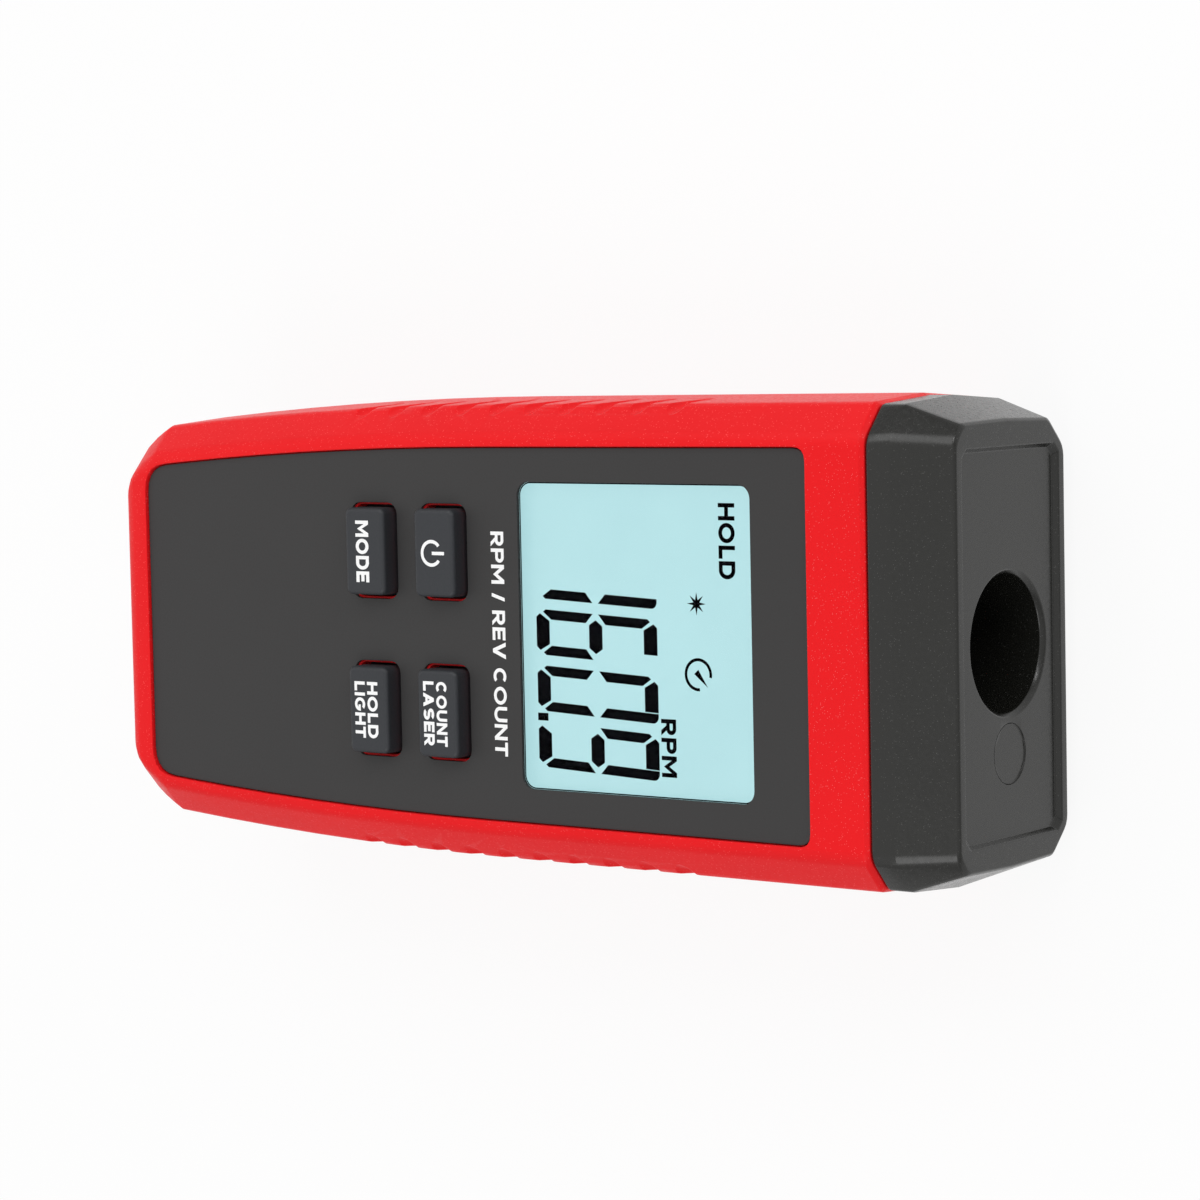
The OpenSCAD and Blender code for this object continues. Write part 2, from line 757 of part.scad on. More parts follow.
module keypad_web() color([0.3, 0.31, 0.33]) {
    reach_x = key_w / 2 + web_border;
    reach_y = key_row_y + key_l / 2 + web_side;
    translate([0, 0, board_top_z]) linear_extrude(web_t) difference() {
        translate([key_col_x[1] - reach_x, -reach_y])
            square([key_col_x[0] - key_col_x[1] + 2 * reach_x, 2 * reach_y]);
        each_key() circle(r = web_hole_r);
    }
    skirt_top = flange_z - key_travel - slide_gap - board_top_z;
    translate([0, 0, board_top_z]) each_key() rotate_extrude()
        polygon([[web_hole_r, 0], [web_hole_r + skirt_t, 0], [web_hole_r + skirt_t, web_t],
            [web_hole_r, max(skirt_top, web_t)], [web_hole_r - skirt_t, max(skirt_top, web_t)],
            [web_hole_r - skirt_t / 2, web_t]]);
}

module key(col, side) color([0.28, 0.29, 0.31]) translate([key_col_x[col], side * key_row_y, 0]) {
    top = rim_z - plate_drop + key_proud;
    translate([0, 0, flange_z]) linear_extrude(flange_t)
        polygon(round_rect(key_w + 2 * flange_reach, key_l + 2 * flange_reach, key_r));
    loft(concat(
        [ring_z(flange_z + flange_t / 2, round_rect(key_w, key_l, key_r))],
        [for (a = [0:30:90])
            let (cut = key_edge * (1 - cos(a)))
            ring_z(top - key_edge * (1 - sin(a)),
                round_rect(key_w - 2 * cut, key_l - 2 * cut, key_r - cut / 2))]
    ));
    translate([0, 0, pill_z + pill_t]) cylinder(r = plunger_r, h = flange_z - pill_z - pill_t + eps);
}

module pill(col, side) color([0.1, 0.1, 0.1])
    translate([key_col_x[col], side * key_row_y, pill_z]) cylinder(r = pill_r, h = pill_t);

module power_key() key(0, 1);
module mode_key() key(1, 1);
module laser_key() key(0, -1);
module hold_key() key(1, -1);
module power_key_pill() pill(0, 1);
module mode_key_pill() pill(1, 1);
module laser_key_pill() pill(0, -1);
module hold_key_pill() pill(1, -1);

// Optics: laser on the left of the sensor axis, receiver on the right

module sensor_holder() color([0.12, 0.12, 0.13]) difference() {
    union() {
        along_x(holder_x, 0, sensor_z) cylinder(r = tube_r, h = flange_len);
        along_x(holder_x, 0, sensor_z) cylinder(r = bore_r - fit_gap, h = flange_len + plug_len);
    }
    along_x(holder_x - eps, optic_offset, sensor_z)
        cylinder(r = laser_r + shaft_gap, h = flange_len + plug_len + 2 * eps);
    along_x(holder_x - eps, -optic_offset, sensor_z)
        cylinder(r = diode_r + shaft_gap, h = flange_len + plug_len + 2 * eps);
    along_x(optic_x - lens_rim - lens_dome, -optic_offset, sensor_z)
        cylinder(r = lens_r + shaft_gap, h = lens_rim + lens_dome + eps);
}

module laser_module() color("goldenrod") difference() {
    along_x(optic_x - laser_back - laser_len, optic_offset, sensor_z) cylinder(r = laser_r, h = laser_len);
    along_x(optic_x - laser_back - laser_lens_t, optic_offset, sensor_z)
        cylinder(r = laser_lens_r + shaft_gap, h = laser_lens_t + eps);
    along_x(optic_x - laser_back - 3 * laser_lens_t, optic_offset, sensor_z)
        cylinder(r = laser_lens_r / 2, h = 3 * laser_lens_t);
}

module laser_lens() color([0.8, 0.85, 0.9, 0.5])
    along_x(optic_x - laser_back - laser_lens_t, optic_offset, sensor_z)
        cylinder(r = laser_lens_r, h = laser_lens_t);

// Plano-convex lens, its dome a spherical cap
module receiver_lens() color([0.75, 0.2, 0.2, 0.6])
    along_x(optic_x - lens_rim - lens_dome, -optic_offset, sensor_z) {
        ball_r = (lens_r ^ 2 + lens_dome ^ 2) / (2 * lens_dome);
        rotate_extrude() polygon(concat(
            [[0, 0], [lens_r, 0]],
            [for (i = [0:8])
                let (r = lens_r * (1 - i / 8))
                [r, lens_rim + lens_dome - ball_r + sqrt(ball_r ^ 2 - r ^ 2)]]
        ));
    }

module photodiode() color([0.2, 0.2, 0.25]) along_x(holder_x, -optic_offset, sensor_z) {
    cylinder(r = diode_r, h = diode_len - diode_tip);
    translate([0, 0, diode_len - diode_tip - eps])
        cylinder(r1 = diode_r, r2 = diode_r / 2, h = diode_tip + eps);
}

module sensor_board() color("darkgreen") difference() {
    box([sensor_board_x, -sensor_board_half, board_z - sensor_board_h],
        [sensor_board_x + board_t, sensor_board_half, board_z]);
    along_x(sensor_board_x - eps, optic_offset, sensor_z)
        cylinder(r = laser_r + shaft_gap, h = board_t + 2 * eps);
}

module board_header() color([0.15, 0.15, 0.15])
    box([sensor_board_x - header_len, -header_w - header_side, board_z - header_h],
        [sensor_board_x, -header_side, board_z]);

// Batteries

nub_h = 0.8;
nub_r = 1.9;
wire_r = 0.35;
spring_turns = 3.5;
spring_base_r = 3.3;
spring_tip_r = 2.1;

// The middle cell points to the tail, the outer two to the sensor end
function cell_flip(i) = i == 1;
function cell_y(i) = (1 - i) * cell_pitch;
cell_mid_x = bay_tail_x + contact_t + cell_len / 2;
function cell_x(i) = cell_mid_x + (cell_flip(i) ? 0 : spring_len);

module battery(i) color("silver") translate([cell_x(i), cell_y(i), cell_z])
    rotate([0, cell_flip(i) ? -90 : 90, 0]) translate([0, 0, -cell_len / 2]) {
        cylinder(d = cell_d, h = cell_len - nub_h);
        translate([0, 0, cell_len - nub_h - eps]) cylinder(r = nub_r, h = nub_h + eps);
    }

module battery_1() battery(0);
module battery_2() battery(1);
module battery_3() battery(2);

// Conical coil: a round wire swept along a helix from the contact plate to the cell
module battery_spring(i) color("silver") {
    steps = 14 * spring_turns;
    sides = 8;
    pitch_run = spring_len - 2 * wire_r - 2 * eps / 5;
    base_x = cell_flip(i) ? bay_head_x - contact_t : bay_tail_x + contact_t;
    translate([base_x, cell_y(i), cell_z]) rotate([0, cell_flip(i) ? -90 : 90, 0])
        translate([0, 0, wire_r + eps / 5])
            loft([for (k = [0:steps])
                let (
                    t = k / steps,
                    a = 360 * spring_turns * t,
                    r = mix(spring_base_r, spring_tip_r, t)
                )
                [for (j = [0:sides - 1])
                    let (b = 360 * j / sides, q = r + wire_r * cos(b))
                    [q * cos(a), q * sin(a), pitch_run * t - wire_r * sin(b)]]
            ]);
}

module battery_spring_1() battery_spring(0);
module battery_spring_2() battery_spring(1);
module battery_spring_3() battery_spring(2);

module contact_plate(x, from, to) {
    box([x, cell_y(to) - contact_w / 2, cell_z - contact_w / 2],
        [x + contact_t, cell_y(from) + contact_w / 2, cell_z + contact_w / 2]);
}

module tail_contacts() color("lightgray") {
    contact_plate(bay_tail_x, 0, 0);
    contact_plate(bay_tail_x, 1, 2);
}

module head_contacts() color("lightgray") {
    contact_plate(bay_head_x - contact_t, 0, 1);
    contact_plate(bay_head_x - contact_t, 2, 2);
}

// Screws, heads down, with a cross recess

module screw(r, length, head_r, head_h) {
    recess = [2 * r, r / 2, head_h / 2];
    translate([0, 0, -eps]) cylinder(r = r, h = length + eps);
    difference() {
        translate([0, 0, -head_h]) cylinder(r = head_r, h = head_h);
        for (a = [0, 90]) rotate(a)
            translate([-recess.x / 2, -recess.y / 2, -head_h - eps]) cube(recess + [0, 0, eps]);
    }
}

module case_screws() color("gray") for (p = case_screw_xy)
    translate([p.x, p.y, screw_seat_z]) screw(screw_r, screw_len, screw_head_r, screw_head_h);

module board_screws() color("gray") for (p = board_screw_xy)
    translate([p.x, p.y, board_z])
        screw(board_screw_r, board_screw_len, board_screw_head_r, board_screw_head_h);

front_shell();
rear_shell();
sensor_cap();
face_plate();
display_window();
lcd_glass();
lcd_backlight();
connector_strip();
main_board();
processor_chip();
keypad_web();
power_key();
mode_key();
hold_key();
laser_key();
power_key_pill();
mode_key_pill();
hold_key_pill();
laser_key_pill();
sensor_holder();
laser_module();
laser_lens();
receiver_lens();
photodiode();
sensor_board();
board_header();
battery_1();
battery_2();
battery_3();
battery_spring_1();
battery_spring_2();
battery_spring_3();
tail_contacts();
head_contacts();
battery_cover();
case_screws();
board_screws();
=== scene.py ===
import math
from contextlib import contextmanager
from functools import partial

import bmesh
import bpy
from mathutils import Matrix, Vector


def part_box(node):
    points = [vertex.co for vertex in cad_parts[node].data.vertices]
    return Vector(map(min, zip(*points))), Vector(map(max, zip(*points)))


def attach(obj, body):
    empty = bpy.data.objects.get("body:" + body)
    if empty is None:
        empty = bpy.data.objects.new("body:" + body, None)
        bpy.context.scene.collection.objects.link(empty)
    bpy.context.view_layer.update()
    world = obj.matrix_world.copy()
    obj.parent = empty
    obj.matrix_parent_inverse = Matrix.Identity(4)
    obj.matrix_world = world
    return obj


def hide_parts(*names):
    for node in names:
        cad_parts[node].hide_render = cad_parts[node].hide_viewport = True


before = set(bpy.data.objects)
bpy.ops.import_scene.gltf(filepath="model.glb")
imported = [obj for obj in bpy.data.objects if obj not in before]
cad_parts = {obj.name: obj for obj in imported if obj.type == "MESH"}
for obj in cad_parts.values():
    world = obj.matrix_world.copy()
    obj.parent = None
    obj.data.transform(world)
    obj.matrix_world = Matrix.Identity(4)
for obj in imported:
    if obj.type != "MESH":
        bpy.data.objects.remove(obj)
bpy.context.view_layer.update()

bl_info = {
    "name": "Laser tachometer",
    "version": (1, 0, 0),
    "blender": (4, 5, 0),
    "location": "View3D > Sidebar > Tachometer",
    "description": "Models and finishes the pieces of a handheld laser tachometer",
    "category": "Object",
}

MM = 0.001

# Points that differ by less than this along an axis count as level
LEVEL = 0.01 * MM
# Distances below which the corners of a frame node's copy and of a print are merged
COPY_MERGE = 0.001 * MM
PRINT_MERGE = 0.0005 * MM
# Faces that meet at less than this angle are shaded smooth, in degrees
SMOOTH_ANGLE = 34

# Levels and places read from the frame
PLATE_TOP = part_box("face_plate")[1].z
GLASS_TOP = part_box("lcd_glass")[1].z
WINDOW_LOW, WINDOW_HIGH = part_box("display_window")
WINDOW_MIDDLE = (WINDOW_LOW + WINDOW_HIGH) / 2
KEYS = ("power_key", "mode_key", "hold_key", "laser_key")
CELLS = ("battery_1", "battery_2", "battery_3")
SPRINGS = ("battery_spring_1", "battery_spring_2", "battery_spring_3")

# Inner pieces that keep the frame's own shapes, by material slot
FRAME_FINISHES = {
    "display_glass": ["lcd_glass"],
    "white_plastic": ["lcd_backlight"],
    "pink_rubber": ["connector_strip"],
    "circuit_board": ["main_board", "sensor_board"],
    "black_plastic": ["processor_chip", "board_header", "photodiode", "sensor_holder"],
    "key_rubber": ["keypad_web"],
    "carbon_rubber": [f"{key}_pill" for key in KEYS],
    "brass": ["laser_module"],
    "lens": ["laser_lens", "receiver_lens"],
    "spring_steel": ["tail_contacts", "head_contacts"],
    "screw_steel": ["case_screws", "board_screws"],
}


def number(name, description, default, **kind):
    return bpy.props.FloatProperty(name=name, description=description, default=default, **kind)


def three_numbers(name, description, default, **kind):
    return bpy.props.FloatVectorProperty(name=name, description=description, default=default, size=3, **kind)


length = partial(number, subtype="DISTANCE", unit="LENGTH", precision=5)
power = partial(number, unit="POWER")
colour = partial(three_numbers, subtype="COLOR", min=0, max=1)
direction = partial(three_numbers, subtype="DIRECTION")


class TachoFinish(bpy.types.PropertyGroup):
    """Colours of the tachometer"""

    red: colour("Red shells", "Satin red of the two shells and the battery cover", (0.76, 0.009, 0.012))
    cap: colour("Sensor cap", "Dark grey of the sensor cap", (0.010, 0.010, 0.0085))
    plate: colour("Face plate", "Dark grey of the face plate", (0.032, 0.031, 0.031))
    key: colour("Keys", "Dark grey of the keys", (0.024, 0.026, 0.030))
    legend: colour("Legends", "White of the printed legends", (0.88, 0.88, 0.88))
    display: colour("Display", "Pale blue of the lit display", (0.473, 0.776, 0.807))
    digit: colour("Digits", "Black of the display's digits", (0.002, 0.002, 0.003))
    jacket: colour("Cell jacket", "Printed jacket of the cells", (0.020, 0.028, 0.036))
    jacket_band: colour("Cell band", "Band at the positive end of a cell", (0.70, 0.36, 0.14))


class TachoSizes(bpy.types.PropertyGroup):
    """Small sizes of the finished pieces"""

    shell_edge: length("Shell edges", "Rounding of the red shells' edges", 0.12 * MM)
    cap_edge: length("Cap edges", "Rounding of the sensor cap's edges", 0.14 * MM)
    plate_edge: length("Plate edges", "Rounding of the face plate's edges", 0.06 * MM)
    window_corner: length("Window corners", "Corner radius of the clear pane under the plate", 0.6 * MM)
    window_lap: length("Window lap", "How far the clear pane reaches under the plate", 1.65 * MM)
    opening_corner: length("Opening corners", "Corner radius of the plate's opening", 1.6 * MM)
    # Painted shadow: a black ink ring along the opening stands in for the shade of the opening's wall
    window_mask: length("Window mask", "Width of the black print along the opening", 0.16 * MM)
    window_edge: length("Window edges", "Rounding of the clear window's edges", 0.1 * MM)
    window_air: length("Air gap", "Air between the display and its window", 0.15 * MM)
    key_corner: length("Key corners", "Corner radius of a key", 0.85 * MM)
    key_edge: length("Key edges", "Rounding of a key's top edge", 0.55 * MM)
    flange_lap: length("Key flange", "How far a key's hidden flange stands out", 1.58 * MM)
    flange_low: length("Flange depth", "From a key's top down to its flange's underside", 5.85 * MM)
    flange_thick: length("Flange thickness", "Thickness of a key's flange", 1.2 * MM)
    plunger: length("Plunger", "Radius of the plunger under a key", 2.2 * MM)
    ink: length("Ink", "Thickness of the printed ink", 0.02 * MM)
    legend_shift: length("Legend shift", "How far the legends lie towards the tail", 0.25 * MM)
    nub_length: length("Cell nub", "Length of a cell's positive nub", 0.8 * MM)
    nub_radius: length("Nub radius", "Radius of a cell's positive nub", 1.9 * MM)
    crimp: length("Cell crimp", "Rounding at the ends of a cell's jacket", 0.5 * MM)


class TachoStage(bpy.types.PropertyGroup):
    """Camera, lights and floor"""

    eye: three_numbers(
        "Eye", "Place of the camera", (0.27149, 0.03726, 0.37428), subtype="TRANSLATION", unit="LENGTH"
    )
    right: direction("Right", "Camera's right-hand direction", (0.80332, -0.02036, -0.59520))
    up: direction("Up", "Camera's upward direction", (-0.02874, 0.99693, -0.07289))
    lens: number("Lens", "Focal length on a 36 mm sensor, in millimetres", 112.84)
    floor_size: length("Floor", "Side of the floor", 8.0)
    sky: number("Sky", "Strength of the even light", 0.55)
    horizon: number("Horizon", "Brightness of the horizon in reflections", 0.5)
    side_light: power("Side light", "Power of the soft light beside the keys", 2.65)
    tail_light: power("Tail light", "Power of the soft light behind the tail", 0.5)
    near_light: power("Near light", "Power of the soft light beside the window", 1.8)
    glint_light: power("Glint light", "Power of the small light at the sensor end", 0.6)
    floor_glow: number(
        "Floor white", "Share of plain white in the seen floor", 0.9, subtype="FACTOR", min=0, max=1
    )


# Selecting and shaping, as by hand


def select_only(piece):
    bpy.ops.object.select_all(action="DESELECT")
    piece.select_set(True)
    bpy.context.view_layer.objects.active = piece


@contextmanager
def editing(piece):
    """Edit mode on one piece, with all of it selected."""
    select_only(piece)
    bpy.ops.object.mode_set(mode="EDIT")
    bpy.ops.mesh.select_all(action="SELECT")
    yield
    bpy.ops.object.mode_set(mode="OBJECT")


def pick(piece, kind, test):
    """Selects only the edges or only the faces that pass a test, in edit mode."""
    bpy.ops.mesh.select_mode(type=kind)
    bpy.ops.mesh.select_all(action="DESELECT")
    mesh = bmesh.from_edit_mesh(piece.data)
    for item in mesh.edges if kind == "EDGE" else mesh.faces:
        if test(item):
            item.select_set(True)
    bmesh.update_edit_mesh(piece.data)


def apply_modifier(piece, kind, **values):
    select_only(piece)
    modifier = piece.modifiers.new(kind.title(), kind)
    for name, value in values.items():
        setattr(modifier, name, value)
    bpy.ops.object.modifier_apply(modifier=modifier.name)


def place_in_mesh(piece):
    select_only(piece)
    bpy.ops.object.transform_apply(location=True, rotation=True, scale=True)


def add_block(name, low, high):
    """A box between two corners, ready to be shaped."""
    bpy.ops.mesh.primitive_cube_add(size=1, location=(low + high) / 2)
    piece = bpy.context.object
    piece.name = name
    piece.scale = high - low
    place_in_mesh(piece)
    return piece


def add_cylinder(name, sides, radius, depth, middle, turn=0):
    """A cylinder about a place, upright or turned about Y."""
    bpy.ops.mesh.primitive_cylinder_add(
        vertices=sides, radius=radius, depth=depth, location=middle, rotation=(0, turn, 0)
    )
    piece = bpy.context.object
    piece.name = name
    place_in_mesh(piece)
    return piece


def add_object(name, data):
    piece = bpy.data.objects.new(name, data)
    bpy.context.collection.objects.link(piece)
    return piece


def join(piece, *others):
    select_only(piece)
    for other in others:
        other.select_set(True)
    bpy.ops.object.join()
    return piece


def smooth(piece, angle=SMOOTH_ANGLE):
    select_only(piece)
    bpy.ops.object.shade_smooth_by_angle(angle=math.radians(angle), keep_sharp_edges=True)
    apply_modifier(piece, "WEIGHTED_NORMAL", keep_sharp=True)


def round_picked(piece, radius, segments, test):
    """Bevels the edges that pass a test of their two ends, in edit mode."""
    pick(piece, "EDGE", lambda edge: test(*(corner.co for corner in edge.verts)))
    bpy.ops.mesh.bevel(offset=radius, segments=segments, affect="EDGES")


def round_uprights(piece, radius, segments):
    round_picked(piece, radius, segments, lambda a, b: abs(a.z - b.z) > LEVEL)


def round_top(piece, top, radius, segments):
    round_picked(piece, radius, segments, lambda a, b: min(a.z, b.z) > top - LEVEL)


def copy_of(node, name):
    """A merged copy of a frame node, ready for rounded edges."""
    piece = add_object(name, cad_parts[node].data.copy())
    piece.data.materials.clear()
    select_only(piece)
    if piece.data.has_custom_normals:
        bpy.ops.mesh.customdata_custom_splitnormals_clear()
    with editing(piece):
        bpy.ops.mesh.remove_doubles(threshold=COPY_MERGE)
    return piece


def set_material(piece, material):
    piece.data.materials.clear()
    piece.data.materials.append(material)


def finish_piece(piece, body, slot, *nodes, finish=None):
    """Ties a piece to the frame, in its slot's own finish where no other is given."""
    set_material(piece, finish or make_finish(slot))
    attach(piece, body)
    if nodes:
        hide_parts(*nodes)


def soften_node(node, name, body, slot, width, segments, sharp, blend=SMOOTH_ANGLE):
    """Puts a copy in a node's place, with the edges that bend by more than the sharp angle rounded and
    the faces that meet below the blend angle shaded smooth, both in degrees."""
    piece = copy_of(node, name)
    apply_modifier(piece, "BEVEL", width=width, segments=segments, limit_method="ANGLE",
                   angle_limit=math.radians(sharp), use_clamp_overlap=False, loop_slide=False)
    smooth(piece, blend)
    finish_piece(piece, body, slot, node)


# Shader nodes


# Sockets of the mix node for plain values and for colours: first input, second input and result
MIX_SOCKETS = {"FLOAT": (2, 3, 0), "RGBA": (6, 7, 2)}


def add_node(tree, kind, **values):
    node = tree.nodes.new(kind)
    for name, value in values.items():
        setattr(node, name, value)
    return node


def feed(tree, socket, given):
    """Links an input to another node's socket, or sets it to a plain value."""
    if isinstance(given, bpy.types.NodeSocket):
        tree.links.new(given, socket)
    else:
        socket.default_value = given


def feed_all(tree, node, values):
    for name, given in values.items():
        feed(tree, node.inputs[name], given)


def noise(tree, vector, scale, detail):
    node = add_node(tree, "ShaderNodeTexNoise")
    feed_all(tree, node, {"Vector": vector, "Scale": scale, "Detail": detail})
    return node.outputs["Fac"]


def map_range(tree, value, span, low, high):
    """A value stretched from its span over the range between two others."""
    node = add_node(tree, "ShaderNodeMapRange")
    names = ("Value", "From Min", "From Max", "To Min", "To Max")
    feed_all(tree, node, dict(zip(names, (value, *span, low, high))))
    return node.outputs["Result"]


def mix(tree, kind, share, first, second):
    """Plain values or colours mixed by a share."""
    node = add_node(tree, "ShaderNodeMix", data_type=kind)
    one, other, result = MIX_SOCKETS[kind]
    feed_all(tree, node, {"Factor": share, one: first, other: second})
    return node.outputs[result]


def calculate(tree, operation, first, second):
    node = add_node(tree, "ShaderNodeMath", operation=operation)
    feed_all(tree, node, {0: first, 1: second})
    return node.outputs[0]


# Shared effects, as shader node groups


VECTOR, VALUE, COLOUR = "NodeSocketVector", "NodeSocketFloat", "NodeSocketColor"
# The part of a noise's range that most of its surface lies in
NOISE_MIDDLE = (0.35, 0.65)
# How far a painted glint speck reaches from its middle, as a share of its grid cell's side
SPECK_REACH = 0.4


def made_once(build):
    """Builds a group on its first use, and finds it by its name after that."""
    def give_group():
        return bpy.data.node_groups.get(build.__name__) or build()
    return give_group


def new_group(name, scale, inputs, outputs):
    """A group that scales a pattern over a place: its input sockets and its output node."""
    group = bpy.data.node_groups.new(name, "ShaderNodeTree")
    for label, kind, *default in (("Vector", VECTOR), ("Scale", VALUE, scale), *inputs):
        socket = group.interface.new_socket(name=label, in_out="INPUT", socket_type=kind)
        if default:
            socket.default_value = default[0]
    for label, kind in outputs:
        group.interface.new_socket(name=label, in_out="OUTPUT", socket_type=kind)
    return group, group.nodes.new("NodeGroupInput").outputs, group.nodes.new("NodeGroupOutput")


@made_once
def moulded_grain():
    """Fine grain of a moulded surface: its roughness and its height."""
    group, given, out = new_group(
        "moulded_grain", 3000.0,
        [("Smoothest", VALUE, 0.3), ("Roughest", VALUE, 0.5)],
        [("Roughness", VALUE), ("Height", VALUE)],
    )
    grain = noise(group, given["Vector"], given["Scale"], detail=3)
    roughness = map_range(group, grain, NOISE_MIDDLE, given["Smoothest"], given["Roughest"])
    feed_all(group, out, {"Roughness": roughness, "Height": grain})
    return group


@made_once
def tone_drift():
    """Slow drift between two tones of one colour."""
    group, given, out = new_group(
        "tone_drift", 60.0, [("Dark", COLOUR), ("Light", COLOUR)], [("Color", COLOUR)]
    )
    drift = noise(group, given["Vector"], given["Scale"], detail=2)
    feed(group, out.inputs["Color"], mix(group, "RGBA", drift, given["Dark"], given["Light"]))
    return group


@made_once
def bright_specks():
    """Painted glints: sparse bright specks in the base colour, standing in for the sparkle that
    spark-textured plastic shows under side light.
    """
    group, given, out = new_group(
        "bright_specks", 8000.0,
        [("Share", VALUE, 0.06), ("Base", COLOUR), ("Speck", COLOUR)],
        [("Color", COLOUR)],
    )
    cells = add_node(group, "ShaderNodeTexVoronoi")
    feed_all(group, cells, {"Vector": given["Vector"], "Scale": given["Scale"]})
    draw = add_node(group, "ShaderNodeSeparateColor")
    feed(group, draw.inputs["Color"], cells.outputs["Color"])
    chosen = calculate(group, "LESS_THAN", draw.outputs["Red"], given["Share"])
    near = calculate(group, "LESS_THAN", cells.outputs["Distance"], SPECK_REACH)
    mask = calculate(group, "MULTIPLY", chosen, near)
    feed(group, out.inputs["Color"], mix(group, "RGBA", mask, given["Base"], given["Speck"]))
    return group


# Finishes


BRIGHT_STEEL = (0.62, 0.62, 0.64)

# Moulded finishes: tone or its setting, drift of the tone, grains per metre, least and most roughness,
# height of the grain in millimetres, gloss, and where there are painted glint specks their tone and their
# share of cells
MOULDED = {
    # The red and the cap carry painted glints: lighter specks that stand in for the sparkle of their grain
    # under light
    "red_plastic": ("red", 0.04, 2600, (0.34, 0.46), 0.014, 0.12, (0.85, 0.09, 0.092), 0.06),
    "cap_plastic": ("cap", 0.06, 2400, (0.2, 0.3), 0.003, 0.42, (0.055, 0.055, 0.052), 0.05),
    "plate_plastic": ("plate", 0.04, 4200, (0.46, 0.58), 0.008, 0.25),
    "key_rubber": ("key", 0.05, 3200, (0.42, 0.56), 0.008, 0.32),
    "carbon_rubber": ((0.012, 0.012, 0.012), 0.1, 2600, (0.7, 0.8), 0.01, 0.25),
    "black_plastic": ((0.012, 0.012, 0.013), 0.08, 2400, (0.5, 0.65), 0.012, 0.25),
    "white_plastic": ((0.82, 0.84, 0.82), 0.03, 1500, (0.28, 0.36), 0.004, 0.25),
    "pink_rubber": ((0.68, 0.32, 0.34), 0.06, 1800, (0.6, 0.7), 0.01, 0.25),
    "legend_ink": ("legend", 0.03, 3000, (0.5, 0.6), 0.003, 0.25),
    "digit_ink": ("digit", 0.1, 3000, (0.4, 0.5), 0.002, 0.0),
}
# Metals: tone, and least and most roughness
METALS = {
    "brass": ((0.58, 0.40, 0.16), (0.22, 0.34)),
    "spring_steel": (BRIGHT_STEEL, (0.2, 0.32)),
    "screw_steel": ((0.20, 0.20, 0.21), (0.3, 0.44)),
}
# Clear pieces: tone and index of refraction
GLASSES = {"clear_window": ((0.98, 0.99, 1.0), 1.06), "lens": ((0.85, 0.30, 0.30), 1.52)}


def rgba(tone, gain=1.0):
    return (*(min(1.0, channel * gain) for channel in tone), 1.0)


def new_finish(name):
    """A material with its Object coordinates and its shader."""
    material = bpy.data.materials.new(name)
    material.use_nodes = True
    tree = material.node_tree
    place = add_node(tree, "ShaderNodeTexCoord").outputs["Object"]
    return material, tree, place, tree.nodes["Principled BSDF"]


def use_group(tree, group, place, **values):
    node = add_node(tree, "ShaderNodeGroup", node_tree=group)
    feed_all(tree, node, {"Vector": place, **values})
    return node


def drift_colour(tree, place, tone, amount, scale):
    node = use_group(
        tree, tone_drift(), place, Scale=scale, Dark=rgba(tone, 1 - amount), Light=rgba(tone, 1 + amount)
    )
    return node.outputs["Color"]


def add_grain(tree, place, shader, scale, roughness, height):
    """Grain on roughness and normal, its height in metres."""
    smoothest, roughest = roughness
    grain = use_group(tree, moulded_grain(), place, Scale=scale, Smoothest=smoothest, Roughest=roughest)
    bump = add_node(tree, "ShaderNodeBump")
    feed_all(tree, bump, {"Strength": 1.0, "Distance": height, "Height": grain.outputs["Height"]})
    feed_all(tree, shader, {"Roughness": grain.outputs["Roughness"], "Normal": bump.outputs["Normal"]})


def moulded(name, tone, drift, scale, roughness, height, gloss, speck=None, share=0.0):
    """A moulded plastic or rubber: drifting tone, grain and, where given, bright specks of painted glint."""
    material, tree, place, shader = new_finish(name)
    if isinstance(tone, str):
        tone = getattr(bpy.context.scene.tacho_finish, tone)
    base = drift_colour(tree, place, tone, drift, scale=70.0)
    # Painted glints: lighter specks mixed into the base colour
    if speck:
        specks = use_group(tree, bright_specks(), place, Share=share, Base=base, Speck=rgba(speck))
        base = specks.outputs["Color"]
    feed_all(tree, shader, {"Base Color": base, "Specular IOR Level": gloss})
    add_grain(tree, place, shader, scale, roughness, height * MM)
    return material


def metal(name, tone, roughness):
    material, tree, place, shader = new_finish(name)
    base = drift_colour(tree, place, tone, amount=0.08, scale=400.0)
    feed_all(tree, shader, {"Base Color": base, "Metallic": 1.0})
    add_grain(tree, place, shader, scale=2500.0, roughness=roughness, height=0.004 * MM)
    return material


def glass(name, tone, ior):
    material, tree, place, shader = new_finish(name)
    base = drift_colour(tree, place, tone, amount=0.02, scale=90.0)
    feed_all(tree, shader, {"Base Color": base, "Transmission Weight": 1.0, "Roughness": 0.02, "IOR": ior})
    return material


def lit_display(name, tone):
    """Display with its backlight on, a little uneven."""
    material, tree, place, shader = new_finish(name)
    glow = drift_colour(tree, place, tone, amount=0.03, scale=45.0)
    feed_all(tree, shader, {"Emission Color": glow, "Emission Strength": 0.9, "Roughness": 0.4})
    feed(tree, shader.inputs["Base Color"], rgba(tone, gain=0.05))
    return material


def circuit_board(name):
    """Green solder mask over copper tracks."""
    material, tree, place, shader = new_finish(name)
    tracks = add_node(tree, "ShaderNodeTexBrick", offset=0.5)
    feed_all(tree, tracks, {
        "Vector": place, "Scale": 260.0, "Mortar Size": 0.06, "Mortar": (0.035, 0.16, 0.05, 1),
        "Color1": (0.012, 0.075, 0.022, 1), "Color2": (0.010, 0.062, 0.020, 1),
    })
    feed(tree, shader.inputs["Base Color"], tracks.outputs["Color"])
    add_grain(tree, place, shader, scale=900.0, roughness=(0.3, 0.4), height=0.01 * MM)
    return material


